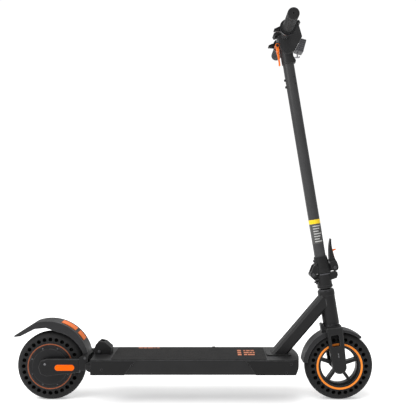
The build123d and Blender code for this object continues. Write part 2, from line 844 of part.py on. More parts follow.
# Fold lever, standing in front of the stem
lever_tip = (39.0, hinge_up + 97.0)
with BuildPart() as fold_lever:
    with BuildSketch(steer_at_y(lever_half)):
        with BuildLine():
            Spline(
                (lever_pivot[0] - 11, lever_pivot[1] + 4),
                (24.6, hinge_up + 42),
                (27.0, hinge_up + 60),
                (30.6, hinge_up + 77),
                (lever_tip[0] - 1.5, lever_tip[1]),
            )
            Line((lever_tip[0] - 1.5, lever_tip[1]), (lever_tip[0] + 1.0, lever_tip[1] - 1.5))
            Spline(
                (lever_tip[0] + 1.0, lever_tip[1] - 1.5),
                (37.8, hinge_up + 77),
                (38.2, hinge_up + 60),
                (40.4, hinge_up + 41),
                (45.6, hinge_up + 21),
                (lever_pivot[0] + lever_eye, lever_pivot[1]),
            )
            Line(
                (lever_pivot[0] + lever_eye, lever_pivot[1]),
                (lever_pivot[0], lever_pivot[1]),
            )
            Line((lever_pivot[0], lever_pivot[1]), (lever_pivot[0] - 11, lever_pivot[1] + 4))
        make_face()
        with Locations(lever_pivot):
            Circle(lever_eye)
    extrude(amount=2 * lever_half)
    # The blade is narrower than the fork at its foot
    for cut_y in (lever_half, -9.0):
        with BuildSketch(steer_at_y(cut_y)):
            with BuildLine():
                Polyline(
                    (0, lever_pivot[1] + 20),
                    (80, lever_pivot[1] + 20),
                    (80, lever_tip[1] + 10),
                    (0, lever_tip[1] + 10),
                    close=True,
                )
            make_face()
        extrude(amount=lever_half - 9.0, mode=Mode.SUBTRACT)
    # Fork slot over the collar's lug
    with BuildSketch(steer_at_y(lug_half + clear)):
        with Locations(lever_pivot):
            Circle(12.5)
        with Locations((lever_pivot[0] - 10, lever_pivot[1])):
            Rectangle(20, 25)
    extrude(amount=2 * lug_half + 2 * clear, mode=Mode.SUBTRACT)
    with BuildSketch(steer_at_y(lever_half + 1)):
        with Locations(lever_pivot):
            Circle(lever_pin_radius + running)
    extrude(amount=2 * lever_half + 2, mode=Mode.SUBTRACT)
    # Groove for the safety catch along the front edge
    with BuildSketch(steer_at_y(3 + clear)):
        with BuildLine():
            Polyline(
                (36.6, hinge_up + 64.5),
                (60, hinge_up + 64.5),
                (60, hinge_up + 38),
                (38.6, hinge_up + 38),
                close=True,
            )
        make_face()
    extrude(amount=6 + 2 * clear, mode=Mode.SUBTRACT)
save(fold_lever, "fold_lever")

# Orange safety catch in the lever's groove
safety_axis = (40.55, hinge_up + 39.9)
safety_round = 1.25
with BuildPart() as safety_catch:
    with BuildSketch(steer_at_y(3)):
        with BuildLine():
            Polyline(
                (safety_axis[0] - safety_round, safety_axis[1]),
                (safety_axis[0] + safety_round, safety_axis[1]),
                (39.6, hinge_up + 58.5),
                (50.0, hinge_up + 61.5),
                (50.0, hinge_up + 64.0),
                (36.9 + clear, hinge_up + 64.0),
                close=True,
            )
        make_face()
        with Locations(safety_axis):
            Circle(safety_round)
    extrude(amount=6)
save(safety_catch, "safety_catch")

# ================================================================ handlebar and head
bar_centre = on_steer(0, bar_position)
bar_x = bar_centre.X
bar_z = bar_centre.Z
display_tilt = 28.8
display_length = 87.0
display_width = 50.0
display_thickness = 9.0
head_half = 21.0
hook_pivot = (-24.3, bar_position - 23.7)
hook_half = 9.0
hook_lug_half = 5.0
hook_pin_radius = 3.0
hook_length = 59.0
grip_start = 99.0
pod_start = 75.0
grip_radius = 16.0
flange_pod_radius = 23.0


def bar_at_y(y):
    """Side plane centred on the handlebar, sketch axes +X and +Z."""
    return Plane(origin=(bar_x, y, bar_z), x_dir=(1, 0, 0), z_dir=(0, -1, 0))


display_rad = math.radians(display_tilt)
display_frame = Plane(
    origin=(bar_x + 9, 0, bar_z + 17.7),
    x_dir=(math.cos(display_rad), 0, math.sin(display_rad)),
    z_dir=(-math.sin(display_rad), 0, math.cos(display_rad)),
)
display_axis = Axis(display_frame.origin, display_frame.z_dir)

with BuildPart() as head_housing:
    with BuildSketch(bar_at_y(head_half)):
        with BuildLine():
            Polyline(
                (-21, -8),
                (-19, 6),
                (38, 45),
                (52, -3),
                (47, -12),
                (30, -45),
                (20, -52),
                (4, -56),
                (-12, -40),
                close=True,
            )
        head_face = make_face()
        fillet(head_face.vertices(), 3)
    extrude(amount=2 * head_half)
    straight_edges = head_housing.edges().filter_by(GeomType.LINE)
    rim_edges = straight_edges.filter_by(lambda e: abs(e.center().Y) > head_half - 1)
    fillet(rim_edges.filter_by(lambda e: e.length > 12), 2.5)
    with BuildSketch(steer_frame.offset(bar_position - 82)):
        Circle(stem_radius + 2.3)
    extrude(amount=60)
    # Clamp lug on the front of the sleeve
    with BuildSketch(steer_at_y(8)):
        with BuildLine():
            Polyline(
                (stem_radius - 2, bar_position - 82),
                (stem_radius + 4, bar_position - 82),
                (stem_radius + 6.5, bar_position - 76),
                (stem_radius + 3.8, bar_position - 66),
                (stem_radius - 2, bar_position - 58),
                close=True,
            )
        make_face()
    extrude(amount=16)
    # Lug that carries the folding hook
    with BuildSketch(steer_at_y(hook_lug_half)):
        with Locations(hook_pivot):
            Circle(6.4)
        with BuildLine():
            Polyline(
                (hook_pivot[0] - 3, hook_pivot[1] + 5.6),
                (-14, bar_position - 8),
                (-14, hook_pivot[1] - 6.4),
                (hook_pivot[0], hook_pivot[1] - 6.4),
                close=True,
            )
        make_face()
    extrude(amount=2 * hook_lug_half)
    # Flat seat for the display
    with BuildSketch(display_frame):
        Rectangle(140, 80)
    extrude(amount=60, mode=Mode.SUBTRACT)
    # Bores for the stem and the bar
    with BuildSketch(steer_frame.offset(bar_position - 90)):
        Circle(stem_radius)
    extrude(amount=stem_high - bar_position + 90, mode=Mode.SUBTRACT)
    with BuildSketch(bar_at_y(60)):
        Circle(bar_radius)
    extrude(amount=120, mode=Mode.SUBTRACT)
    # Notches beside the lug, where the cheeks of the hook turn
    for notch_y in (30, -hook_lug_half):
        with BuildSketch(steer_at_y(notch_y)):
            with Locations(hook_pivot):
                Circle(7.4)
        extrude(amount=30 - hook_lug_half, mode=Mode.SUBTRACT)
    with BuildSketch(steer_at_y(20)):
        with Locations(hook_pivot):
            Circle(hook_pin_radius)
    extrude(amount=40, mode=Mode.SUBTRACT)
save(head_housing, "head_housing")

with BuildPart() as display:
    with BuildSketch(display_frame):
        RectangleRounded(display_length, display_width, 9)
    extrude(amount=display_thickness)
    chamfer(display.faces().sort_by(display_axis)[-1].outer_wire().edges(), 1.5)
    with BuildSketch(display_frame.offset(display_thickness)):
        with Locations((6, 0)):
            RectangleRounded(66, 40, 6)
    extrude(amount=-1.5, mode=Mode.SUBTRACT)
    with BuildSketch(display_frame.offset(display_thickness)):
        with Locations((-34.5, 0)):
            Circle(6)
    extrude(amount=-5, mode=Mode.SUBTRACT)
save(display, "display")

with BuildPart() as mode_button:
    with BuildSketch(display_frame.offset(display_thickness - 3.5)):
        with Locations((-34.5, 0)):
            Circle(6 - clear)
    extrude(amount=4.5)
    fillet(mode_button.faces().sort_by(display_axis)[-1].edges(), 1)
save(mode_button, "mode_button")

# Ribbed headlight, tilted down a little
light_tilt = 75.0
light_length = 38.0
light_depth = 24.0
light_x = bar_x + 48.2
light_z = bar_z - 28.3
light_half = 19.0
light_rad = math.radians(light_tilt)
light_plane = Plane(
    origin=(light_x, light_half, light_z),
    x_dir=(math.cos(light_rad), 0, math.sin(light_rad)),
    z_dir=(0, -1, 0),
)
lens_plane = Plane(
    origin=(
        light_x + light_depth / 2 * math.sin(light_rad),
        0,
        light_z - light_depth / 2 * math.cos(light_rad),
    ),
    x_dir=(0, 1, 0),
    z_dir=(math.sin(light_rad), 0, -math.cos(light_rad)),
)
with BuildPart() as headlight:
    with BuildSketch(light_plane):
        light_face = Rectangle(light_length, light_depth)
        fillet(light_face.vertices(), 2)
    extrude(amount=2 * light_half)
    # Cooling ribs across the sides
    for depth in (0.0, 2 * light_half - 1.6):
        with BuildSketch(light_plane.offset(depth)):
            with Locations(*[(-light_length / 2 + 4 + rib * 6, -3) for rib in range(6)]):
                Rectangle(2.6, 13)
        extrude(amount=1.6, mode=Mode.SUBTRACT)
    with BuildSketch(bar_at_y(light_half + 1)):
        with BuildLine():
            Polyline(
                (-21, -8),
                (-19, 6),
                (38, 45),
                (52 + clear, -3),
                (47 + clear, -12),
                (30 + clear, -45),
                (20, -52 - clear),
                (4, -56),
                (-12, -40),
                close=True,
            )
        make_face()
    extrude(amount=2 * light_half + 2, mode=Mode.SUBTRACT)
    with BuildSketch(lens_plane):
        RectangleRounded(30, 30, 6)
    extrude(amount=-3, mode=Mode.SUBTRACT)
save(headlight, "headlight")

# Small steel hook for a bag, under the headlight
with BuildPart() as bag_hook:
    with BuildSketch(bar_at_y(4)):
        with BuildLine():
            Polyline(
                (38.6, -42),
                (42.0, -42),
                (42.0, -59.3),
                (45.4, -59.3),
                (45.6, -57.2),
                (47.6, -57.2),
                (47.6, -60.8),
                (45.8, -62.6),
                (33.6, -62.6),
                (33.6, -59.6),
                (38.6, -59.3),
                close=True,
            )
        make_face()
    extrude(amount=8)
    with BuildSketch(light_plane):
        Rectangle(light_length, light_depth)
    extrude(amount=2 * light_half, mode=Mode.SUBTRACT)
save(bag_hook, "bag_hook")

with BuildPart() as handlebar:
    with BuildSketch(bar_at_y(bar_width / 2 - 3)):
        Circle(bar_radius)
        Circle(bar_radius - 2, mode=Mode.SUBTRACT)
    extrude(amount=bar_width - 6)
save(handlebar, "handlebar")

with BuildPart() as grips:
    for high_y in (bar_width / 2, -grip_start):
        with BuildSketch(bar_at_y(high_y)):
            Circle(grip_radius)
        extrude(amount=bar_width / 2 - grip_start)
    for end in (-1, 0):
        fillet(grips.faces().sort_by(Axis.Y)[end].edges(), 2.5)
    for flange_y in (grip_start + 4, -grip_start):
        with BuildSketch(bar_at_y(flange_y)):
            Circle(grip_radius + 3)
        extrude(amount=4)
    for side in (1, -1):
        for rib in range(13):
            with BuildSketch(bar_at_y(side * (grip_start + 12 + rib * 7.5) + 1)):
                Circle(grip_radius + 1)
                Circle(grip_radius - 0.9, mode=Mode.SUBTRACT)
            extrude(amount=2, mode=Mode.SUBTRACT)
    with BuildSketch(bar_at_y(bar_width / 2 - 3)):
        Circle(bar_radius)
    extrude(amount=bar_width - 6, mode=Mode.SUBTRACT)
    with BuildSketch(bar_at_y(bar_width / 2 + 1)):
        Circle(2.2)
    extrude(amount=bar_width + 2, mode=Mode.SUBTRACT)
save(grips, "grips")

# Thumb control pods and their paddles
pod_core = 13.7
paddle_low = pod_start + 8.0
paddle_high = pod_start + 16.0
paddle_reach = 38.0
with BuildPart() as control_pods:
    for low, high, radius in (
        (pod_start, paddle_low, 18.0),
        (paddle_low, paddle_high, pod_core),
        (paddle_high, grip_start - clear, flange_pod_radius),
    ):
        for top_y in (high, -low):
            with BuildSketch(bar_at_y(top_y)):
                Circle(radius)
                Circle(bar_radius, mode=Mode.SUBTRACT)
            extrude(amount=high - low)
save(control_pods, "control_pods")

for paddle_name, side in (("brake_paddle", 1), ("throttle_paddle", -1)):
    with BuildPart() as paddle:
        top_y = paddle_high - clear if side > 0 else -paddle_low - clear
        with BuildSketch(bar_at_y(top_y)):
            Circle(19)
            with BuildLine():
                Polyline(
                    (-8, 14),
                    (-24, 4),
                    (-paddle_reach, -3),
                    (-paddle_reach, -9),
                    (-24, -10),
                    (-8, -14),
                    close=True,
                )
            make_face()
            Circle(pod_core + running, mode=Mode.SUBTRACT)
        extrude(amount=paddle_high - paddle_low - 2 * clear)
        # Thumb pad, wider than the arm
        blade_y = paddle_high + 2 if side > 0 else -paddle_low + 6
        with BuildSketch(bar_at_y(blade_y)):
            with BuildLine():
                Polyline(
                    (-26, 2.5),
                    (-paddle_reach, -3),
                    (-paddle_reach - 1, -7),
                    (-paddle_reach, -9),
                    (-26, -6),
                    close=True,
                )
            make_face()
        extrude(amount=paddle_high - paddle_low + 8)
    save(paddle, paddle_name)

# Folding hook behind the stem
with BuildPart() as fold_hook:
    with BuildSketch(steer_at_y(hook_half)):
        with Locations(hook_pivot):
            Circle(6.8)
        with BuildLine():
            Polyline(
                (hook_pivot[0] - 4.0, hook_pivot[1]),
                (hook_pivot[0] + 4.0, hook_pivot[1]),
                (hook_pivot[0] + 2.2, hook_pivot[1] - 20),
                (hook_pivot[0] + 0.6, hook_pivot[1] - hook_length + 6),
                (hook_pivot[0] + 0.2, hook_pivot[1] - hook_length),
                (hook_pivot[0] - 3.6, hook_pivot[1] - hook_length),
                (hook_pivot[0] - 4.4, hook_pivot[1] - hook_length + 3),
                (hook_pivot[0] - 3.2, hook_pivot[1] - hook_length + 9),
                close=True,
            )
        make_face()
    extrude(amount=2 * hook_half)
    with BuildSketch(steer_at_y(hook_lug_half + clear)):
        with Locations(hook_pivot):
            Circle(9)
            with Locations((5, 5)):
                Rectangle(24, 20)
    extrude(amount=2 * hook_lug_half + 2 * clear, mode=Mode.SUBTRACT)
    for cut_y in (hook_half + 1, -4.5):
        with BuildSketch(steer_at_y(cut_y)):
            with Locations((hook_pivot[0], hook_pivot[1] - 44)):
                Rectangle(30, 48)
        extrude(amount=hook_half + 1 - 4.5, mode=Mode.SUBTRACT)
    with BuildSketch(steer_at_y(hook_half + 1)):
        with Locations(hook_pivot):
            Circle(hook_pin_radius + running)
    extrude(amount=2 * hook_half + 2, mode=Mode.SUBTRACT)
save(fold_hook, "fold_hook")

# Screws of the upper collar, and the pins of the lever and the hook
with BuildPart() as stem_hardware:
    for direction, height in ((-1, upper_low + 37), (1, upper_low + 33)):
        bolt_plane = Plane(
            origin=on_steer(0, height, 0),
            x_dir=(0, 1, 0),
            z_dir=(direction * tilt_cos, 0, direction * tilt_sin),
        )
        with BuildSketch(bolt_plane.offset(12)):
            Circle(3.2)
        extrude(amount=11.2)
        with BuildSketch(bolt_plane.offset(23.2)):
            Circle(1.7)
        extrude(amount=-1.2, mode=Mode.SUBTRACT)
    with BuildSketch(steer_frame.offset(upper_flange)):
        Circle(flange_radius)
    with BuildSketch(steer_frame.offset(upper_top)):
        Circle(stem_radius + 2.5)
    loft(mode=Mode.SUBTRACT)
    for centre, half, pin_radius, head in (
        (lever_pivot, lever_half, lever_pin_radius, 1.6),
        (hook_pivot, hook_half, hook_pin_radius, 1.4),
    ):
        with BuildSketch(steer_at_y(half + clear)):
            with Locations(centre):
                Circle(pin_radius)
        extrude(amount=2 * half + 2 * clear)
        for head_y in (half + 3.0, -half - clear):
            with BuildSketch(steer_at_y(head_y)):
                with Locations(centre):
                    Circle(pin_radius + head)
            extrude(amount=3.0 - clear)
save(stem_hardware, "stem_hardware")

# ================================================================ wheels
rim_radius = 64.0
hole_radius = 6.2
hole_depth = 17.0
hole_circle = 78.5
hole_count = 28
ring_inner = 62.0
ring_outer = 68.5
flange_thickness = 1.6


def tyre_profile():
    """Half section of a solid tyre in the X-Y plane of a wheel, x being the radius."""
    with BuildLine() as outline:
        Polyline((rim_radius, -half_tyre), (wheel_radius - 14, -half_tyre))
        ThreePointArc(
            (wheel_radius - 14, -half_tyre),
            (wheel_radius - 5.0, -half_tyre + 5.5),
            (wheel_radius, -half_tyre + 14),
        )
        Line((wheel_radius, -half_tyre + 14), (wheel_radius, half_tyre - 14))
        ThreePointArc(
            (wheel_radius, half_tyre - 14),
            (wheel_radius - 5.0, half_tyre - 5.5),
            (wheel_radius - 14, half_tyre),
        )
        Polyline((wheel_radius - 14, half_tyre), (rim_radius, half_tyre))
        Line((rim_radius, half_tyre), (rim_radius, -half_tyre))
    make_face(outline.edges())


for tyre_name, axle_x in (("front_tyre", front_axle_x), ("rear_tyre", rear_axle_x)):
    wheel_plane = Plane(origin=(axle_x, 0, wheel_radius), x_dir=(1, 0, 0), z_dir=(0, 0, 1))
    wheel_axis = Axis((axle_x, 0, wheel_radius), (0, 1, 0))
    with BuildPart() as tyre:
        with BuildSketch(wheel_plane):
            tyre_profile()
        revolve(axis=wheel_axis)
        # Cushion holes, blind from both sides
        for hole_y in (half_tyre + 1, hole_depth - half_tyre):
            with BuildSketch(at_y(hole_y)):
                with Locations((axle_x, wheel_radius)):
                    with PolarLocations(hole_circle, hole_count):
                        Circle(hole_radius)
            extrude(amount=hole_depth + 1, mode=Mode.SUBTRACT)
    save(tyre, tyre_name)

rim_inner = 53.0
hub_radius = 17.0
hub_half = 17.0
bearing_radius = 13.0
bearing_width = 8.0
spoke_count = 5
spoke_width = 9.5
with BuildPart() as front_rim:
    ring_about_y(front_centre, rim_inner, rim_radius, -half_tyre, half_tyre)
    ring_about_y(front_centre, axle_radius + 3, hub_radius, -hub_half, hub_half)
    with BuildSketch(at_y(9)):
        with Locations(front_centre):
            with PolarLocations((rim_inner + hub_radius) / 2, spoke_count, 90):
                Rectangle(rim_inner - hub_radius + 3, spoke_width)
    extrude(amount=18)
    # Lightening step inside the rim barrel
    ring_cut = 58.0
    for low, high in ((9.5, half_tyre), (-half_tyre, -9.5)):
        with BuildSketch(at_y(high)):
            with Locations(front_centre):
                Circle(ring_cut)
                Circle(hub_radius, mode=Mode.SUBTRACT)
        extrude(amount=high - low, mode=Mode.SUBTRACT)
    for low, high in ((hub_half - bearing_width, hub_half), (-hub_half, -hub_half + bearing_width)):
        with BuildSketch(at_y(high)):
            with Locations(front_centre):
                Circle(bearing_radius)
        extrude(amount=high - low, mode=Mode.SUBTRACT)
    # Flanges that hold the tyre from both sides
    for low in (half_tyre, -half_tyre - flange_thickness):
        ring_about_y(front_centre, ring_inner, ring_outer, low, low + flange_thickness)
save(front_rim, "front_rim")

with BuildPart() as front_bearings:
    for low, high in ((hub_half - bearing_width, hub_half), (-hub_half, -hub_half + bearing_width)):
        ring_about_y(front_centre, axle_radius + running, bearing_radius, low, high)
save(front_bearings, "front_bearings")

# Rear hub motor
rear_centre = (rear_axle_x, wheel_radius)
stator_radius = 46.0
stator_half = 13.0
magnet_inner = 47.0
shell_inner = 50.0
arm_low_y = 32.0
arm_high_y = 38.0
with BuildPart() as motor_shell:
    ring_about_y(rear_centre, shell_inner, rim_radius, -half_tyre, half_tyre)
    ring_about_y(rear_centre, magnet_inner, shell_inner + 1, -stator_half, stator_half)
    for low in (half_tyre, -half_tyre - flange_thickness):
        ring_about_y(rear_centre, ring_inner + 0.6, ring_outer - 0.6, low, low + flange_thickness)
save(motor_shell, "motor_shell")

cover_screw_circle = 56.5
with BuildPart() as motor_covers:
    for side in (1, -1):
        face_low = half_tyre if side > 0 else -half_tyre - 3
        ring_about_y(rear_centre, bearing_radius + 3, 61, face_low, face_low + 3)
        spigot_low = half_tyre - 6 if side > 0 else -half_tyre
        ring_about_y(rear_centre, 40, shell_inner, spigot_low, spigot_low + 6)
        step_low = half_tyre + 3 if side > 0 else -half_tyre - 5.5
        ring_about_y(rear_centre, bearing_radius + 3, 52, step_low, step_low + 2.5)
        hub_low = half_tyre - 4 if side > 0 else -half_tyre - 5.5
        ring_about_y(rear_centre, bearing_radius, bearing_radius + 6, hub_low, hub_low + 9.5)
        with BuildSketch(at_y(face_low + 3)):
            with Locations(rear_centre):
                with PolarLocations(cover_screw_circle, 8, 22.5):
                    Circle(2.2)
        extrude(amount=3, mode=Mode.SUBTRACT)
save(motor_covers, "motor_covers")

with BuildPart() as rear_bearings:
    for low in (half_tyre - 3, -half_tyre - 4.5):
        ring_about_y(rear_centre, axle_radius + running, bearing_radius, low, low + 7.5)
save(rear_bearings, "rear_bearings")

with BuildPart() as motor_stator:
    ring_about_y(rear_centre, axle_radius, 30, -stator_half, stator_half)
    with BuildSketch(at_y(stator_half)):
        with Locations(rear_centre):
            with PolarLocations(36, 18):
                Rectangle(16, 5)
            with PolarLocations(stator_radius - 2, 18):
                Rectangle(3.6, 12)
    extrude(amount=2 * stator_half)
save(motor_stator, "motor_stator")

with BuildPart() as rear_axle:
    with BuildSketch(at_y(arm_high_y + 5)):
        with Locations(rear_centre):
            Circle(axle_radius)
    extrude(amount=2 * (arm_high_y + 5))
    for high in (arm_high_y + 5, -arm_high_y):
        with BuildSketch(at_y(high)):
            with Locations(rear_centre):
                RegularPolygon(10, 6)
        extrude(amount=5)
save(rear_axle, "rear_axle")

# ================================================================ swing arm and rear fender
pivot_at = (deck_rear - 10.0, wheel_radius + 8.0)
pivot_radius = 5.0
swing_knuckle = 9.0
swing_half = 49.5
fender_pin_at = (deck_rear - 22.0, wheel_radius + 31.0)
fender_pin_radius = 3.0
rear_fender_half = 30.0
with BuildPart() as swing_arm:
    with BuildSketch(at_y(swing_half)):
        with Locations(pivot_at):
            Circle(swing_knuckle)
    extrude(amount=2 * swing_half)
    for high in (arm_high_y, -arm_low_y):
        with BuildSketch(at_y(high)):
            with BuildLine():
                Polyline(
                    (pivot_at[0], pivot_at[1] - 9),
                    (pivot_at[0], pivot_at[1] + 9),
                    (fender_pin_at[0] + 8, fender_pin_at[1] + 7),
                    (fender_pin_at[0] - 9, fender_pin_at[1] + 7),
                    (fender_pin_at[0] - 20, pivot_at[1] + 9),
                    (rear_axle_x, wheel_radius + 14),
                    (rear_axle_x - 8, wheel_radius + 12),
                    (rear_axle_x - 8, wheel_radius - 12),
                    (rear_axle_x, wheel_radius - 14),
                    close=True,
                )
            make_face()
        extrude(amount=arm_high_y - arm_low_y)
    with BuildSketch(at_y(60)):
        with Locations(rear_centre):
            Circle(axle_radius)
        with Locations(fender_pin_at):
            Circle(fender_pin_radius)
        with Locations(pivot_at):
            Circle(pivot_radius + running)
    extrude(amount=120, mode=Mode.SUBTRACT)
save(swing_arm, "swing_arm")

with BuildPart() as pivot_bracket:
    for high in (half_deck - 20, -half_deck + 30):
        with BuildSketch(at_y(high)):
            with BuildLine():
                Polyline(
                    (deck_rear, deck_bottom + 2),
                    (deck_rear, deck_top - 8),
                    (pivot_at[0] + 2, pivot_at[1] + 13),
                    (pivot_at[0] - 8, pivot_at[1] + 8),
                    (pivot_at[0] - 8, pivot_at[1] - 8),
                    (pivot_at[0] + 2, deck_bottom + 2),
                    close=True,
                )
            make_face()
        extrude(amount=10)
    with BuildSketch(at_y(half_deck - 20)):
        with Locations(pivot_at):
            Circle(pivot_radius)
    extrude(amount=deck_width - 40)
    for high in (half_deck - 17, -half_deck + 20):
        with BuildSketch(at_y(high)):
            with Locations(pivot_at):
                RegularPolygon(8, 6)
        extrude(amount=3)
save(pivot_bracket, "pivot_bracket")

# Plastic arm covers, dark shoulders in front of them and the side reflectors
cover_low_y = arm_high_y + 0.1
cover_high_y = arm_high_y + 11
reflector_at = (rear_axle_x + 48, wheel_radius + 3)
reflector_length = 57.0
reflector_height = 17.5
arm_screw_at = (rear_axle_x - 9.5, wheel_radius + 12.5)
with BuildPart() as arm_covers:
    for high in (cover_high_y, -cover_low_y):
        with BuildSketch(at_y(high)):
            with BuildLine():
                Polyline(
                    (pivot_at[0] - 28, wheel_radius + 28),
                    (rear_axle_x - 4, wheel_radius + 28),
                    (rear_axle_x - 22, wheel_radius + 22),
                    (rear_axle_x - 29, wheel_radius + 4),
                    (rear_axle_x - 22, wheel_radius - 16),
                    (rear_axle_x - 4, wheel_radius - 23),
                    (rear_axle_x + 24, wheel_radius - 19),
                    (pivot_at[0] - 28, wheel_radius - 12),
                    close=True,
                )
            arm_face = make_face()
            fillet(arm_face.vertices().group_by(Axis.X)[0], 6)
        extrude(amount=cover_high_y - cover_low_y)
    for end in (-1, 0):
        chamfer(arm_covers.faces().sort_by(Axis.Y)[end].outer_wire().edges(), 2)
    for recess_y in (cover_high_y, -cover_high_y + 1.2):
        with BuildSketch(at_y(recess_y)):
            with Locations(reflector_at):
                SlotOverall(reflector_length, reflector_height)
        extrude(amount=1.2, mode=Mode.SUBTRACT)
    for nut_y in (cover_low_y + 6.5, -cover_low_y):
        with BuildSketch(at_y(nut_y)):
            with Locations(rear_centre):
                Circle(12)
        extrude(amount=6.5, mode=Mode.SUBTRACT)
    for screw_y in (cover_high_y, -cover_high_y + 2):
        with BuildSketch(at_y(screw_y)):
            with Locations(arm_screw_at):
                Circle(3.6)
        extrude(amount=2, mode=Mode.SUBTRACT)
save(arm_covers, "arm_covers")

with BuildPart() as side_reflectors:
    for high in (cover_high_y + 0.8, -cover_high_y + 1.2):
        with BuildSketch(at_y(high)):
            with Locations(reflector_at):
                SlotOverall(reflector_length - 2 * clear, reflector_height - 2 * clear)
        extrude(amount=2.0)
save(side_reflectors, "side_reflectors")

with BuildPart() as arm_shoulders:
    for high in (swing_half, -arm_high_y):
        with BuildSketch(at_y(high)):
            with BuildLine():
                Polyline(
                    (pivot_at[0] - 27.6, wheel_radius - 5),
                    (pivot_at[0] - 27.6, wheel_radius + 33),
                    (pivot_at[0] - 20, wheel_radius + 37),
                    (pivot_at[0] - 3, wheel_radius + 37),
                    (pivot_at[0] - 3, wheel_radius + 18.5),
                    (pivot_at[0] - 10.5, wheel_radius + 12),
                    (pivot_at[0] - 10.5, wheel_radius - 5),
                    close=True,
                )
            make_face()
            with Locations(fender_pin_at):
                Circle(fender_pin_radius, mode=Mode.SUBTRACT)
        extrude(amount=swing_half - arm_high_y)
save(arm_shoulders, "arm_shoulders")

# Suspension block of rubber between the deck and the swing arm
with BuildPart() as rear_buffer:
    with BuildSketch(at_y(24)):
        with BuildLine():
            Polyline(
                (deck_rear, deck_top - 14),
                (deck_rear, deck_top - 4),
                (deck_rear - 6, deck_top - 4),
                (deck_rear - 8, deck_top - 9),
                (deck_rear - 5, deck_top - 14),
                close=True,
            )
        make_face()
    extrude(amount=48)
save(rear_buffer, "rear_buffer")

# Foot brake fender, hinged at its front end
rear_arc_centre = (rear_axle_x - 8.0, wheel_radius + 10.5)
rear_arc = 123.5
fender_skin = 3.0
kick_angle = 108.9
front_angle = 14.0
kick_start = polar(rear_arc_centre, rear_arc, kick_angle)
tail_tip_x = -overall_length / 2
tail_top_z = wheel_radius + 88.0
tail_plan_half = 21.0


def tail_plan(inset):
    """Plan of the fender, seen from above: it narrows to a blunt tip."""
    with BuildLine() as outline:
        Polyline(
            (deck_rear + 10, rear_fender_half - inset),
            (tail_tip_x + 50, rear_fender_half - inset),
            (tail_tip_x + inset, tail_plan_half - inset),
            (tail_tip_x + inset, inset - tail_plan_half),
            (tail_tip_x + 50, inset - rear_fender_half),
            (deck_rear + 10, inset - rear_fender_half),
            close=True,
        )
    make_face(outline.edges())


# The room under the fender's skin
with BuildPart() as fender_room:
    with BuildSketch(at_y(rear_fender_half)):
        with BuildLine():
            inner_arc = rear_arc - fender_skin
            inner_kick = polar(rear_arc_centre, inner_arc, kick_angle)
            ThreePointArc(
                polar(rear_arc_centre, inner_arc, -10),
                polar(rear_arc_centre, inner_arc, 50),
                inner_kick,
            )
            Polyline(
                inner_kick,
                (tail_tip_x + 4, tail_top_z - 2.4),
                (tail_tip_x + 4, tail_top_z - 40),
                (rear_axle_x, wheel_radius - 30),
                polar(rear_arc_centre, inner_arc, -10),
            )
        make_face()
    extrude(amount=2 * rear_fender_half)
    with BuildSketch(Plane.XY):
        tail_plan(fender_skin)
    extrude(amount=400, mode=Mode.INTERSECT)

with BuildPart() as rear_fender:
    with BuildSketch(at_y(rear_fender_half)):
        with BuildLine():
            ThreePointArc(
                polar(rear_arc_centre, rear_arc, front_angle),
                polar(rear_arc_centre, rear_arc, 60),
                kick_start,
            )
            Polyline(
                kick_start,
                (tail_tip_x, tail_top_z),
                (tail_tip_x, tail_top_z - 3),
                (tail_tip_x + 22, tail_top_z + 0.5),
                (tail_tip_x + 66, wheel_radius + 111),
                (tail_tip_x + 99, wheel_radius + 114),
                polar(rear_centre, wheel_radius + 5, 79),
            )
            ThreePointArc(
                polar(rear_centre, wheel_radius + 5, 79),
                polar(rear_centre, wheel_radius + 5, 48),
                polar(rear_centre, wheel_radius + 5, 18),
            )
            Line(
                polar(rear_centre, wheel_radius + 5, 18),
                polar(rear_arc_centre, rear_arc, front_angle),
            )
        make_face()
        with Locations(fender_pin_at):
            Circle(8)
    extrude(amount=2 * rear_fender_half)
    with BuildSketch(Plane.XY) as plan_sketch:
        tail_plan(0)
        fillet(plan_sketch.vertices().group_by(Axis.X)[0], 12)
    extrude(amount=400, mode=Mode.INTERSECT)
    add(fender_room.part, mode=Mode.SUBTRACT)
    with BuildSketch(at_y(60)):
        with Locations(fender_pin_at):
            Circle(fender_pin_radius + running)
    extrude(amount=120, mode=Mode.SUBTRACT)
save(rear_fender, "rear_fender")

with BuildPart() as fender_pin:
    with BuildSketch(at_y(swing_half)):
        with Locations(fender_pin_at):
            Circle(fender_pin_radius)
    extrude(amount=2 * swing_half)
save(fender_pin, "fender_pin")

strip_half = 16.0
with BuildPart() as fender_strips:
    for start, stop in ((49.5, 71.5), (32, 45)):
        with BuildSketch(at_y(strip_half)):
            sector(rear_arc_centre, rear_arc, rear_arc + 1.5, start, stop)
        extrude(amount=2 * strip_half)
save(fender_strips, "fender_strips")

pad_gap = 4.0
pad_half = 16.0
with BuildPart() as brake_pad:
    with BuildSketch(at_y(pad_half)):
        with BuildLine():
            ThreePointArc(
                polar(rear_centre, wheel_radius + pad_gap, 62),
                polar(rear_centre, wheel_radius + pad_gap, 70),
                polar(rear_centre, wheel_radius + pad_gap, 78),
            )
            Line(
                polar(rear_centre, wheel_radius + pad_gap, 78),
                polar(rear_arc_centre, rear_arc - fender_skin, 78),
            )
            ThreePointArc(
                polar(rear_arc_centre, rear_arc - fender_skin, 78),
                polar(rear_arc_centre, rear_arc - fender_skin, 70),
                polar(rear_arc_centre, rear_arc - fender_skin, 62),
            )
            Line(
                polar(rear_arc_centre, rear_arc - fender_skin, 62),
                polar(rear_centre, wheel_radius + pad_gap, 62),
            )
        make_face()
    extrude(amount=2 * pad_half)
save(brake_pad, "brake_pad")
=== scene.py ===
"""Looks for a folding electric kick scooter: finishes, small trim pieces, studio and camera.

Sizes are in millimetres and angles in degrees, unless a docstring says otherwise. Lights,
camera and finished meshes are in metres, like the loaded frame.
"""

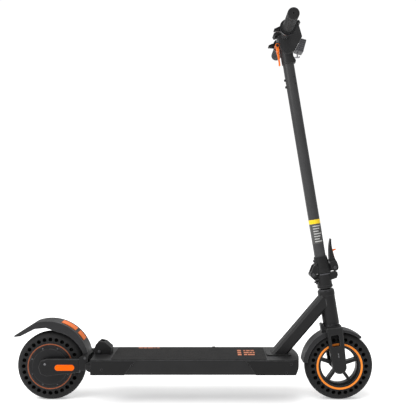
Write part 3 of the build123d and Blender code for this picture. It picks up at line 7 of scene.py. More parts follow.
import json
import logging
import math
from dataclasses import dataclass, field
from enum import Enum

import bmesh
import bpy
from mathutils import Matrix, Vector

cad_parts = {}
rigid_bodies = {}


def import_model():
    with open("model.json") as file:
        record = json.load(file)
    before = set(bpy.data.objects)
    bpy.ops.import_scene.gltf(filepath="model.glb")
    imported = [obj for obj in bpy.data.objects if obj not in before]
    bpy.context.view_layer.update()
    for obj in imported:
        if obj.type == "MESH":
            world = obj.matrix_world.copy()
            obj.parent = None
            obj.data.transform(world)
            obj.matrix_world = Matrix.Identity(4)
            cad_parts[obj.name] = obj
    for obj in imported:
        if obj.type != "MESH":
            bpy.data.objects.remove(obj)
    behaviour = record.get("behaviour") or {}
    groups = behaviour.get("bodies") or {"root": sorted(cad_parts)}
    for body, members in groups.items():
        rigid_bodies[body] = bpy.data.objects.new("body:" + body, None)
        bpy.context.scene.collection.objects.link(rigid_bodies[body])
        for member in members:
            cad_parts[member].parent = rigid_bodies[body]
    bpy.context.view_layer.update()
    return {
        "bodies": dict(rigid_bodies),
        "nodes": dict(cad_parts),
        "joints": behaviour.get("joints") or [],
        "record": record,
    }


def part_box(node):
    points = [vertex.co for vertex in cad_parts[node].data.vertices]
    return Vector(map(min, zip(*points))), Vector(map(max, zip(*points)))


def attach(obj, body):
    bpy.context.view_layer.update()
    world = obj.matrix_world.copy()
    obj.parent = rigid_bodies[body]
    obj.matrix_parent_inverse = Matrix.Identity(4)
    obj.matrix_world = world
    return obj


LOG = logging.getLogger("scooter")
MM = 0.001
Color = tuple[float, float, float]
Point = tuple[float, float, float]

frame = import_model()


class Side(Enum):
    """The two sides of the scooter, by the sign of Y."""

    LEFT = 1
    RIGHT = -1

    @property
    def word(self) -> str:
        """The side's word in the names of pieces."""
        return self.name.lower()


# ------------------------------------------------------------------ node helpers
def remap(
    tree: bpy.types.NodeTree,
    source: bpy.types.NodeSocket,
    before: tuple[float, float] = (0.0, 1.0),
    after: tuple[float, float] = (0.0, 1.0),
) -> bpy.types.NodeSocket:
    """Map one range of a value onto another.

    Args:
        tree: The tree that the node goes into.
        source: The value's socket.
        before: The range that comes in.
        after: The range that goes out.

    Returns:
        The mapped value's socket.
    """
    node = tree.nodes.new("ShaderNodeMapRange")
    node.inputs["From Min"].default_value = before[0]
    node.inputs["From Max"].default_value = before[1]
    node.inputs["To Min"].default_value = after[0]
    node.inputs["To Max"].default_value = after[1]
    tree.links.new(source, node.inputs["Value"])
    return node.outputs["Result"]


def multiply(
    tree: bpy.types.NodeTree, first: bpy.types.NodeSocket, second: bpy.types.NodeSocket
) -> bpy.types.NodeSocket:
    """Multiply two sockets.

    Args:
        tree: The tree that the node goes into.
        first: One output socket.
        second: The other output socket.

    Returns:
        The product's socket.
    """
    node = tree.nodes.new("ShaderNodeMath")
    node.operation = "MULTIPLY"
    tree.links.new(first, node.inputs[0])
    tree.links.new(second, node.inputs[1])
    return node.outputs[0]


def noise(
    tree: bpy.types.NodeTree, scale: bpy.types.NodeSocket, detail: float, roughness: float = 0.5
) -> bpy.types.NodeSocket:
    """Noise that stays with the object.

    Args:
        tree: The tree that the nodes go into.
        scale: The socket that gives its scale.
        detail: Number of finer layers.
        roughness: How strong the finer layers are.

    Returns:
        The noise's value socket.
    """
    coordinates = tree.nodes.new("ShaderNodeTexCoord")
    node = tree.nodes.new("ShaderNodeTexNoise")
    node.inputs["Detail"].default_value = detail
    node.inputs["Roughness"].default_value = roughness
    tree.links.new(coordinates.outputs["Object"], node.inputs["Vector"])
    tree.links.new(scale, node.inputs["Scale"])
    return node.outputs["Fac"]


# ------------------------------------------------------------------ node groups
class GroupName(Enum):
    """The shared surface effects."""

    # Rubbed edges, lightened also as painted highlight lines along edges.
    EDGE_WEAR_AND_HIGHLIGHT = "edge_wear_and_highlight"
    GRAIN = "grain"
    DUST = "dust"
    STIPPLE = "stipple"


@dataclass
class EffectLibrary:
    """Builds the shader node groups that more than one finish uses.

    The edge radius is in metres, and the other fields are ranges of node values.
    """

    edge_radius: float = 0.0022
    edge_samples: int = 6
    edge_turn: tuple[float, float] = (0.995, 0.9)
    edge_patches: tuple[float, float] = (0.3, 0.6)
    dust_slopes: tuple[float, float] = (0.3, 1.0)
    grain_roughness: float = 0.6
    cell_reach: float = 0.7
    groups: dict[GroupName, bpy.types.NodeTree] = field(init=False)

    def __post_init__(self) -> None:
        """Build every group once."""
        self.groups = {
            GroupName.EDGE_WEAR_AND_HIGHLIGHT: self.edge_wear_and_highlight(),
            GroupName.GRAIN: self.grain(),
            GroupName.DUST: self.dust(),
            GroupName.STIPPLE: self.stipple(),
        }

    @staticmethod
    def start(
        name: GroupName, inputs: dict[str, float], outputs: list[str]
    ) -> tuple[bpy.types.NodeTree, bpy.types.Node, bpy.types.Node]:
        """Make an empty group with its sockets.

        Args:
            name: Which effect it is.
            inputs: Input names and their default values.
            outputs: Output names; all are floats.

        Returns:
            The tree, its input node and its output node.
        """
        tree = bpy.data.node_groups.new(name.value, "ShaderNodeTree")
        for label, default in inputs.items():
            socket = tree.interface.new_socket(
                name=label, in_out="INPUT", socket_type="NodeSocketFloat"
            )
            socket.default_value = default
        for label in outputs:
            tree.interface.new_socket(name=label, in_out="OUTPUT", socket_type="NodeSocketFloat")
        return tree, tree.nodes.new("NodeGroupInput"), tree.nodes.new("NodeGroupOutput")

    def edge_wear_and_highlight(self) -> bpy.types.NodeTree:
        """Mask of rubbed edges, broken up by noise; the lighter colour laid on it is partly edge
        wear and partly painted highlight lines.

        Returns:
            The node group.
        """
        tree, inward, outward = self.start(
            GroupName.EDGE_WEAR_AND_HIGHLIGHT,
            {"Radius": self.edge_radius, "Scale": 60.0, "Amount": 0.5},
            ["Mask"],
        )
        bevel = tree.nodes.new("ShaderNodeBevel")
        bevel.samples = self.edge_samples
        tree.links.new(inward.outputs["Radius"], bevel.inputs["Radius"])
        geometry = tree.nodes.new("ShaderNodeNewGeometry")
        dot = tree.nodes.new("ShaderNodeVectorMath")
        dot.operation = "DOT_PRODUCT"
        tree.links.new(bevel.outputs["Normal"], dot.inputs[0])
        tree.links.new(geometry.outputs["Normal"], dot.inputs[1])
        turned = remap(tree, dot.outputs["Value"], self.edge_turn)
        patches = remap(tree, noise(tree, inward.outputs["Scale"], 4.0), self.edge_patches)
        rubbed_and_highlighted = multiply(tree, turned, patches)
        scaled = multiply(tree, rubbed_and_highlighted, inward.outputs["Amount"])
        tree.links.new(scaled, outward.inputs["Mask"])
        return tree

    def grain(self) -> bpy.types.NodeTree:
        """Fine moulded or powder coated texture, as a height and a slow tone change.

        Returns:
            The node group.
        """
        tree, inward, outward = self.start(
            GroupName.GRAIN, {"Fine Scale": 900.0, "Slow Scale": 14.0}, ["Height", "Tone"]
        )
        for label, output, detail in (("Fine Scale", "Height", 3.0), ("Slow Scale", "Tone", 5.0)):
            value = noise(tree, inward.outputs[label], detail, self.grain_roughness)
            tree.links.new(value, outward.inputs[output])
        return tree

    def dust(self) -> bpy.types.NodeTree:
        """Mask of light dust that settles on faces that look up.

        Returns:
            The node group.
        """
        tree, inward, outward = self.start(
            GroupName.DUST, {"Scale": 35.0, "Amount": 0.2}, ["Mask"]
        )
        geometry = tree.nodes.new("ShaderNodeNewGeometry")
        split = tree.nodes.new("ShaderNodeSeparateXYZ")
        tree.links.new(geometry.outputs["Normal"], split.inputs["Vector"])
        upward = remap(tree, split.outputs["Z"], self.dust_slopes)
        settled = multiply(tree, upward, noise(tree, inward.outputs["Scale"], 6.0))
        scaled = multiply(tree, settled, inward.outputs["Amount"])
        tree.links.new(scaled, outward.inputs["Mask"])
        return tree

    def stipple(self) -> bpy.types.NodeTree:
        """Regular raised cells, such as grit, prisms or a knurl.

        Returns:
            The node group.
        """
        tree, inward, outward = self.start(
            GroupName.STIPPLE, {"Scale": 400.0, "Randomness": 1.0}, ["Height"]
        )
        coordinates = tree.nodes.new("ShaderNodeTexCoord")
        cells = tree.nodes.new("ShaderNodeTexVoronoi")
        tree.links.new(coordinates.outputs["Object"], cells.inputs["Vector"])
        tree.links.new(inward.outputs["Scale"], cells.inputs["Scale"])
        tree.links.new(inward.outputs["Randomness"], cells.inputs["Randomness"])
        height = remap(tree, cells.outputs["Distance"], (0.0, self.cell_reach), (1.0, 0.0))
        tree.links.new(height, outward.inputs["Height"])
        return tree

    def place(
        self, tree: bpy.types.NodeTree, name: GroupName, **values: float
    ) -> bpy.types.ShaderNodeGroup:
        """Put a group into a material.

        Args:
            tree: The material's node tree.
            name: Which effect.
            values: Input values, with underscores for spaces.

        Returns:
            The group node.
        """
        node = tree.nodes.new("ShaderNodeGroup")
        node.node_tree = self.groups[name]
        for label, value in values.items():
            node.inputs[label.replace("_", " ")].default_value = value
        return node


# ------------------------------------------------------------------ finishes
DUST_COLOR: Color = (0.32, 0.3, 0.28)
COAT_ROUGHNESS = 0.12
ROUGHNESS_SPREAD = 0.09
LEAST_ROUGHNESS = 0.02
TONE_STOPS = (0.3, 0.7)


@dataclass(frozen=True)
class Finish:
    """One surface finish and how far each effect goes on it.

    Bump heights are in millimetres. Scales are in cells or waves per metre.
    """

    name: str
    color: Color
    roughness: float = 0.45
    metallic: float = 0.0
    tone: float = 0.25
    fine_scale: float = 900.0
    fine_height: float = 0.1
    slow_scale: float = 14.0
    # Lighter colour on edges: partly wear, partly painted highlight lines along edges.
    wear_and_highlight: float = 0.5
    wear_highlight_color: Color = (0.11, 0.11, 0.113)
    dust: float = 0.012
    stipple_scale: float = 0.0
    stipple_height: float = 0.0
    stipple_randomness: float = 1.0
    coat: float = 0.0
    specular: float = 0.2

    def build(self, effects: EffectLibrary) -> bpy.types.Material:
        """Make the material.

        Args:
            effects: The shared node groups.

        Returns:
            The finished material.
        """
        material = bpy.data.materials.new(self.name)
        material.use_nodes = True
        material.diffuse_color = (*self.color, 1.0)
        tree = material.node_tree
        links = tree.links
        shader = tree.nodes["Principled BSDF"]
        shader.inputs["Metallic"].default_value = self.metallic
        shader.inputs["Coat Weight"].default_value = self.coat
        shader.inputs["Coat Roughness"].default_value = COAT_ROUGHNESS
        shader.inputs["Specular IOR Level"].default_value = self.specular
        grain = effects.place(
            tree, GroupName.GRAIN, Fine_Scale=self.fine_scale, Slow_Scale=self.slow_scale
        )
        wear_and_highlight = effects.place(tree, GroupName.EDGE_WEAR_AND_HIGHLIGHT, Amount=self.wear_and_highlight)
        dust = effects.place(tree, GroupName.DUST, Amount=self.dust)
        toned = self.tint(tree, grain.outputs["Tone"])
        # Lay the lighter edge colour: wear plus painted highlight lines along edges.
        worn_and_highlighted = self.mix(tree, toned, self.wear_highlight_color, wear_and_highlight.outputs["Mask"])
        dusty = self.mix(tree, worn_and_highlighted, DUST_COLOR, dust.outputs["Mask"])
        links.new(dusty, shader.inputs["Base Color"])
        smoothest = max(LEAST_ROUGHNESS, self.roughness - ROUGHNESS_SPREAD)
        roughest = min(1.0, self.roughness + ROUGHNESS_SPREAD)
        rough = remap(tree, grain.outputs["Tone"], after=(smoothest, roughest))
        links.new(rough, shader.inputs["Roughness"])
        bump = tree.nodes.new("ShaderNodeBump")
        bump.inputs["Strength"].default_value = 1.0
        bump.inputs["Distance"].default_value = self.fine_height * MM
        links.new(grain.outputs["Height"], bump.inputs["Height"])
        normal = bump.outputs["Normal"]
        if self.stipple_height > 0:
            cells = effects.place(
                tree,
                GroupName.STIPPLE,
                Scale=self.stipple_scale,
                Randomness=self.stipple_randomness,
            )
            raised = tree.nodes.new("ShaderNodeBump")
            raised.inputs["Distance"].default_value = self.stipple_height * MM
            links.new(cells.outputs["Height"], raised.inputs["Height"])
            links.new(normal, raised.inputs["Normal"])
            normal = raised.outputs["Normal"]
        links.new(normal, shader.inputs["Normal"])
        return material

    def tint(
        self, tree: bpy.types.NodeTree, tone: bpy.types.NodeSocket
    ) -> bpy.types.NodeSocket:
        """Vary the base colour by the slow tone.

        Args:
            tree: The material's tree.
            tone: The tone socket.

        Returns:
            A colour socket.
        """
        ramp = tree.nodes.new("ShaderNodeValToRGB")
        low = tuple(c * (1 - self.tone) for c in self.color)
        high = tuple(min(1.0, c * (1 + self.tone)) for c in self.color)
        for stop, place, shade in zip(ramp.color_ramp.elements, TONE_STOPS, (low, high)):
            stop.position = place
            stop.color = (*shade, 1.0)
        tree.links.new(tone, ramp.inputs["Fac"])
        return ramp.outputs["Color"]

    @staticmethod
    def mix(
        tree: bpy.types.NodeTree,
        below: bpy.types.NodeSocket,
        color: Color,
        mask: bpy.types.NodeSocket,
    ) -> bpy.types.NodeSocket:
        """Lay a colour over another by a mask.

        Args:
            tree: The material's tree.
            below: The colour socket underneath.
            color: The colour on top.
            mask: The mask socket.

        Returns:
            The mixed colour socket.
        """
        node = tree.nodes.new("ShaderNodeMix")
        node.data_type = "RGBA"
        tree.links.new(mask, node.inputs["Factor"])
        tree.links.new(below, node.inputs["A"])
        node.inputs["B"].default_value = (*color, 1.0)
        return node.outputs["Result"]


# Each lighter edge colour below is wear plus a painted highlight along edges.
FINISHES: tuple[Finish, ...] = (
    Finish("frame_black", (0.0085, 0.0085, 0.0088), 0.42, tone=0.15, fine_height=0.05, wear_and_highlight=0.4),
    Finish("stem_black", (0.0380, 0.0380, 0.0390), 0.3, tone=0.12, fine_height=0.03, wear_and_highlight=0.3),
    Finish("fork_black", (0.0082, 0.0082, 0.0085), 0.45, tone=0.15, fine_height=0.06, wear_and_highlight=0.5),
    Finish("deck_black", (0.0112, 0.0112, 0.0116), 0.48, tone=0.18, fine_height=0.05,
           fine_scale=1400.0, wear_and_highlight=0.5),
    Finish("plastic_black", (0.0045, 0.0045, 0.0048), 0.46, tone=0.15, fine_height=0.08,
           stipple_scale=1400.0, stipple_height=0.03, wear_and_highlight=0.45),
    Finish("fender_black", (0.0160, 0.0160, 0.0170), 0.44, tone=0.15, fine_height=0.05, wear_and_highlight=0.4,
           wear_highlight_color=(0.16, 0.16, 0.17)),
    Finish("head_black", (0.0200, 0.0200, 0.0208), 0.4, tone=0.2, fine_height=0.06, wear_and_highlight=0.5),
    Finish("pod_gloss", (0.0136, 0.0136, 0.0150), 0.24, tone=0.15, fine_height=0.02, wear_and_highlight=0.4),
    Finish("plastic_grey", (0.0500, 0.0500, 0.0550), 0.42, tone=0.18, fine_height=0.07, wear_and_highlight=0.3,
           wear_highlight_color=(0.2, 0.2, 0.21)),
    Finish("gloss_black", (0.0060, 0.0060, 0.0080), 0.1, tone=0.1, fine_height=0.0, wear_and_highlight=0.05,
           coat=1.0),
    Finish("tyre_rubber", (0.0072, 0.0072, 0.0075), 0.78, tone=0.3, fine_height=0.15,
           slow_scale=30.0, wear_and_highlight=0.4, wear_highlight_color=(0.04, 0.04, 0.04), dust=0.03, specular=0.3),
    Finish("rubber_black", (0.0090, 0.0090, 0.0095), 0.7, tone=0.2, fine_height=0.1, wear_and_highlight=0.2),
    Finish("grip_rubber", (0.0109, 0.0109, 0.0114), 0.6, tone=0.2, fine_height=0.06,
           stipple_scale=520.0, stipple_height=0.35, stipple_randomness=0.0, wear_and_highlight=0.3),
    Finish("deck_mat", (0.0068, 0.0068, 0.0071), 0.85, tone=0.35, fine_height=0.3,
           fine_scale=2200.0, stipple_scale=900.0, stipple_height=0.35, wear_and_highlight=0.2, dust=0.04),
    Finish("orange_plastic", (0.8000, 0.1550, 0.0100), 0.4, tone=0.08, fine_height=0.03, wear_and_highlight=0.2,
           wear_highlight_color=(0.9, 0.35, 0.12)),
    Finish("ring_orange", (0.8400, 0.2350, 0.0200), 0.42, tone=0.08, fine_height=0.02, wear_and_highlight=0.2,
           wear_highlight_color=(0.95, 0.45, 0.12)),
    Finish("ring_dark", (0.2400, 0.0620, 0.0220), 0.42, tone=0.12, fine_height=0.03, wear_and_highlight=0.15,
           wear_highlight_color=(0.4, 0.15, 0.06)),
    Finish("orange_print", (0.4600, 0.1550, 0.0750), 0.6, tone=0.35, fine_height=0.2,
           fine_scale=1600.0, wear_and_highlight=0.1, wear_highlight_color=(0.5, 0.2, 0.08)),
    Finish("reflector", (0.7800, 0.1100, 0.0004), 0.18, tone=0.1, fine_height=0.0, wear_and_highlight=0.05,
           wear_highlight_color=(0.95, 0.5, 0.3), stipple_scale=620.0, stipple_height=0.4,
           stipple_randomness=0.0, specular=0.08),
    Finish("rim_black", (0.0075, 0.0075, 0.0078), 0.36, tone=0.15, fine_height=0.04, wear_and_highlight=0.5),
    Finish("motor_black", (0.0088, 0.0088, 0.0094), 0.4, metallic=0.2, tone=0.2,
           fine_height=0.08, wear_and_highlight=0.5),
    Finish("bare_alloy", (0.4500, 0.4500, 0.4700), 0.34, metallic=1.0, tone=0.12, fine_height=0.03,
           wear_and_highlight=0.1, wear_highlight_color=(0.6, 0.6, 0.62)),
    Finish("bright_steel", (0.4200, 0.4200, 0.4400), 0.28, metallic=1.0, tone=0.15,
           fine_height=0.02, wear_and_highlight=0.1, wear_highlight_color=(0.6, 0.6, 0.62)),
    Finish("dark_screw", (0.0450, 0.0450, 0.0480), 0.36, metallic=0.8, tone=0.2, fine_height=0.03,
           wear_and_highlight=0.4, wear_highlight_color=(0.3, 0.3, 0.31)),
    Finish("screw_black", (0.0040, 0.0040, 0.0042), 0.4, metallic=0.3, tone=0.2,
           fine_height=0.02, wear_and_highlight=0.3),
    # Lighter grey of the motor-cover beads is a painted highlight ring.
    Finish("bead_painted_highlight", (0.0420, 0.0420, 0.0440), 0.3, tone=0.2, fine_height=0.03, wear_and_highlight=0.5),
    Finish("satin_screw", (0.1700, 0.1700, 0.1780), 0.36, metallic=1.0, tone=0.15,
           fine_height=0.02, wear_and_highlight=0.3, wear_highlight_color=(0.4, 0.4, 0.42)),
    Finish("motor_iron", (0.2000, 0.1200, 0.0700), 0.45, metallic=0.7, tone=0.3, fine_height=0.1),
    Finish("battery_wrap", (0.0200, 0.0700, 0.2500), 0.25, tone=0.2, fine_height=0.02, coat=0.4),
    Finish("label_dark", (0.0550, 0.0540, 0.0530), 0.42, tone=0.1, fine_height=0.01, wear_and_highlight=0.1,
           wear_highlight_color=(0.3, 0.3, 0.3), coat=0.3),
    Finish("label_yellow", (0.8000, 0.5600, 0.0200), 0.42, tone=0.06, fine_height=0.01, wear_and_highlight=0.1,
           wear_highlight_color=(0.9, 0.8, 0.4)),
    Finish("label_white", (0.4200, 0.4200, 0.4100), 0.45, tone=0.1, fine_height=0.01, wear_and_highlight=0.05,
           wear_highlight_color=(0.5, 0.5, 0.5)),
    Finish("lens_clear", (0.5000, 0.5400, 0.5600), 0.14, tone=0.05, fine_height=0.0, wear_and_highlight=0.05,
           wear_highlight_color=(0.8, 0.8, 0.8), stipple_scale=320.0, stipple_height=0.25,
           stipple_randomness=0.0, coat=1.0),
)

NODE_FINISH: dict[str, str] = {
    "deck_shell": "deck_black", "deck_mat": "deck_mat", "belly_cover": "frame_black",
    "deck_screws": "screw_black", "front_cover": "plastic_black",
    "rear_side_covers": "plastic_black", "battery_pack": "battery_wrap",
    "controller": "bare_alloy", "charge_port": "plastic_black", "latch_catch": "plastic_black",
    "stand_bracket": "frame_black", "down_tube": "frame_black", "head_tube": "frame_black",
    "headset_bearings": "dark_screw", "pivot_bracket": "frame_black",
    "rear_buffer": "rubber_black", "swing_arm": "frame_black", "arm_covers": "plastic_black",
    "arm_shoulders": "plastic_black", "side_reflectors": "reflector",
    "rear_axle": "bright_steel", "motor_stator": "motor_iron", "fender_pin": "dark_screw",
    "motor_shell": "motor_black", "motor_covers": "motor_black",
    "rear_bearings": "bright_steel", "rear_tyre": "tyre_rubber",
    "rear_fender": "fender_black", "fender_strips": "orange_plastic",
    "brake_pad": "rubber_black", "kickstand": "frame_black", "charge_cap": "rubber_black",
    "fork_crown": "fork_black", "fork_legs": "fork_black", "front_fender": "fender_black",
    "lower_collar": "frame_black", "hinge_hardware": "dark_screw",
    "axle_carriers": "bare_alloy", "fork_springs": "bright_steel",
    "front_axle": "bright_steel", "front_rim": "rim_black", "front_bearings": "bright_steel",
    "front_tyre": "tyre_rubber", "upper_collar": "frame_black",
    "stem_hardware": "dark_screw", "stem_tube": "stem_black",
    "head_housing": "head_black", "display": "plastic_black", "headlight": "plastic_grey",
    "bag_hook": "bright_steel",
    "handlebar": "stem_black", "grips": "grip_rubber", "control_pods": "pod_gloss",
    "fold_lever": "frame_black", "safety_catch": "orange_plastic",
    "fold_hook": "orange_plastic", "throttle_paddle": "plastic_black",
    "brake_paddle": "plastic_black", "mode_button": "orange_plastic",
}


class Wardrobe:
    """Every finish of the scooter, by name."""

    def __init__(self) -> None:
        """Build all materials."""
        effects = EffectLibrary()
        self.materials = {finish.name: finish.build(effects) for finish in FINISHES}

    def dress(self, thing: bpy.types.Object, finish: str) -> None:
        """Give an object one finish in place of what it had."""
        thing.data.materials.clear()
        thing.data.materials.append(self.materials[finish])


# ------------------------------------------------------------------ mesh making
class Maker:
    """Turns a bmesh into a finished piece on its body; its shapes take millimetres."""

    MERGE_DISTANCE = 1e-6
    CORNER_STEPS = 6
    EDGE_STEPS = 3
    SCREW_SIDES = 24
    SCREW_DOME = 0.5
    SOCKET_DEPTH = 0.6
    SOCKET_RIM = 0.1

    def __init__(self, wardrobe: Wardrobe) -> None:
        """Keep the finishes at hand."""
        self.wardrobe = wardrobe

    def finish(
        self,
        shape: bmesh.types.BMesh,
        name: str,
        place: Matrix,
        finish: str,
        slot: str,
        body: str,
        smooth: float = 35.0,
    ) -> None:
        """Write the mesh, dress it and let it ride.

        Args:
            shape: The mesh, in its own local frame; it is freed.
            name: Name of the piece.
            place: Where its local frame stands, in metres.
            finish: Name of the finish.
            slot: The record's material slot; not used.
            body: The CAD body that it moves with.
            smooth: Edges sharper than this many degrees stay sharp.
        """
        bmesh.ops.remove_doubles(shape, verts=shape.verts, dist=self.MERGE_DISTANCE)
        bmesh.ops.transform(shape, matrix=place, verts=shape.verts)
        bmesh.ops.recalc_face_normals(shape, faces=shape.faces)
        mesh = bpy.data.meshes.new(name)
        shape.to_mesh(mesh)
        shape.free()
        mesh.polygons.foreach_set("use_smooth", [True] * len(mesh.polygons))
        mesh.set_sharp_from_angle(angle=math.radians(smooth))
        piece = bpy.data.objects.new(name, mesh)
        bpy.context.scene.collection.objects.link(piece)
        self.wardrobe.dress(piece, finish)
        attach(piece, body)
        LOG.info("%s: %d faces on %s", name, len(mesh.polygons), body)

    @staticmethod
    def turned(
        profile: list[tuple[float, float]],
        steps: int = 64,
        sweep: float = 360.0,
        start: float = 0.0,
    ) -> bmesh.types.BMesh:
        """Spin a closed profile about the local Z axis.

        Args:
            profile: Points as (radius, height), in order around the section.
            steps: Segments of the spin.
            sweep: How far it turns.
            start: The angle of the first section.

        Returns:
            A closed solid of revolution.
        """
        shape = bmesh.new()
        corners = [shape.verts.new((radius * MM, 0.0, height * MM)) for radius, height in profile]
        section = shape.faces.new(corners)
        turn = Matrix.Rotation(math.radians(start), 3, "Z")
        bmesh.ops.rotate(shape, matrix=turn, verts=shape.verts)
        full = abs(sweep) >= 360.0
        geometry = [section]
        if full:
            bmesh.ops.delete(shape, geom=[section], context="FACES_ONLY")
            geometry = list(shape.verts) + list(shape.edges)
        bmesh.ops.spin(
            shape,
            geom=geometry,
            axis=(0, 0, 1),
            cent=(0, 0, 0),
            angle=math.radians(sweep),
            steps=steps,
            use_merge=full,
            use_duplicate=False,
        )
        return shape

    @staticmethod
    def raise_flat(shape: bmesh.types.BMesh, height: float) -> list[bmesh.types.BMEdge]:
        """Extrude a flat shape upwards into a closed solid.

        Args:
            shape: A flat mesh on Z = 0.
            height: How far it rises, in metres.

        Returns:
            The edges round the top.
        """
        raised = bmesh.ops.extrude_face_region(shape, geom=list(shape.faces), use_keep_orig=True)
        top = [item for item in raised["geom"] if isinstance(item, bmesh.types.BMVert)]
        bmesh.ops.translate(shape, vec=(0, 0, height), verts=top)
        upper = set(top)
        return [edge for edge in shape.edges if all(vert in upper for vert in edge.verts)]

    @classmethod
    def plate(
        cls, length: float, width: float, height: float, corner: float, edge: float = 0.0
    ) -> bmesh.types.BMesh:
        """Flat plate with round corners, standing on local Z = 0.

        Args:
            length: Size along local X.
            width: Size along local Y.
            height: Size along local Z.
            corner: Radius of the plan's corners.
            edge: Radius of the top edge.

        Returns:
            A closed plate.
        """
        shape = bmesh.new()
        bmesh.ops.create_grid(shape, x_segments=1, y_segments=1, size=0.5)
        bmesh.ops.scale(shape, vec=(length * MM, width * MM, 1.0), verts=shape.verts)
        bmesh.ops.bevel(
            shape,
            geom=list(shape.verts),
            offset=corner * MM,
            segments=cls.CORNER_STEPS,
            profile=0.5,
            affect="VERTICES",
            material=-1,
        )
        rim = cls.raise_flat(shape, height * MM)
        if edge > 0:
            bmesh.ops.bevel(
                shape,
                geom=rim,
                offset=edge * MM,
                segments=cls.EDGE_STEPS,
                profile=0.5,
                affect="EDGES",
                material=-1,
            )
        return shape

    @classmethod
    def screw(cls, radius: float, height: float, socket: float) -> bmesh.types.BMesh:
        """Domed screw head with a round socket, on local Z = 0.

        Args:
            radius: Radius of the head.
            height: Height of the head.
            socket: Radius of the socket.

        Returns:
            A closed head.
        """
        dome = height * cls.SCREW_DOME
        rim_width = max(radius - dome - socket, cls.SOCKET_RIM)
        shape = bmesh.new()
        bmesh.ops.create_circle(
            shape, cap_ends=True, segments=cls.SCREW_SIDES, radius=radius * MM
        )
        rim = cls.raise_flat(shape, height * MM)
        bmesh.ops.bevel(
            shape,
            geom=rim,
            offset=dome * MM,
            segments=cls.EDGE_STEPS,
            profile=0.5,
            affect="EDGES",
            material=-1,
        )
        crown = max(shape.faces, key=lambda face: face.calc_center_median().z)
        bmesh.ops.inset_region(shape, faces=[crown], thickness=rim_width * MM)
        sunk = bmesh.ops.extrude_face_region(shape, geom=[crown])
        floor = [item for item in sunk["geom"] if isinstance(item, bmesh.types.BMVert)]
        bmesh.ops.translate(shape, vec=(0, 0, -height * cls.SOCKET_DEPTH * MM), verts=floor)
        bmesh.ops.delete(shape, geom=[crown], context="FACES_ONLY")
        return shape


def side_place(centre: Vector, side: Side) -> Matrix:
    """Frame on a side of the scooter whose Z points outwards.

    Args:
        centre: Origin of the frame, in metres.
        side: Which side.

    Returns:
        The placing matrix.
    """
    return Matrix.Translation(centre) @ Matrix.Rotation(math.radians(-90.0 * side.value), 4, "X")


# ------------------------------------------------------------------ places read from the frame
@dataclass
class Measures:
    """Places of the main parts, taken from the loaded frame.

    The display and the lamp are placed from the middle of the handlebar.
    """

    frame: dict
    display_from_bar: Point = (9.0, 0.0, 17.7)
    lamp_from_bar: Point = (48.2, 0.0, -28.3)
    lamp_face: float = 12.0
    lamp_tilt: float = 75.0
    front_axle: Vector = field(init=False)
    rear_axle: Vector = field(init=False)
    steering: Matrix = field(init=False)
    display: Matrix = field(init=False)
    lamp: Matrix = field(init=False)

    def __post_init__(self) -> None:
        """Read the axles, the steering axis, and the planes of the display and the lamp."""
        joints = {joint["name"]: joint for joint in self.frame["joints"]}
        self.front_axle = Vector(joints["front_wheel_spin"]["pos_m"])
        self.rear_axle = Vector(joints["rear_wheel_spin"]["pos_m"])
        self.steering = self.frame_along(Vector(joints["steering"]["axis"]), self.front_axle)
        bar = Vector(joints["throttle_paddle"]["pos_m"])
        bar.y = 0.0
        normal = -Vector(joints["mode_button"]["axis"])
        self.display = self.frame_along(normal, bar + Vector(self.display_from_bar) * MM)
        tilt = math.radians(self.lamp_tilt)
        forward = Vector((math.sin(tilt), 0.0, -math.cos(tilt)))
        lamp_centre = bar + Vector(self.lamp_from_bar) * MM
        self.lamp = self.frame_along(forward, lamp_centre + forward * self.lamp_face * MM)

    @staticmethod
    def frame_along(normal: Vector, origin: Vector) -> Matrix:
        """Frame with Z along a normal in the side plane and Y to the left.

        Args:
            normal: Direction of Z.
            origin: Its origin, in metres.

        Returns:
            The placing matrix.
        """
        upward = normal.normalized()
        left = Vector((0, 1, 0))
        forward = left.cross(upward).normalized()
        turn = Matrix((forward, left, upward)).transposed().to_4x4()
        return Matrix.Translation(origin) @ turn

    @staticmethod
    def frame_facing(normal: Vector, origin: Vector) -> Matrix:
        """Frame with Z along any normal, for pieces that are round about it.

        Args:
            normal: Direction of Z.
            origin: Its origin, in metres.

        Returns:
            The placing matrix.
        """
        turn = normal.to_track_quat("Z", "Y").to_matrix().to_4x4()
        return Matrix.Translation(origin) @ turn

    def on_steering(self, forward: float, side: float, up: float) -> Vector:
        """Point in metres from its place in the steering frame."""
        return self.steering @ (Vector((forward, side, up)) * MM)

    def along_steering(self, direction: Vector) -> Vector:
        """Direction from its components in the steering frame."""
        return self.steering.to_3x3() @ direction


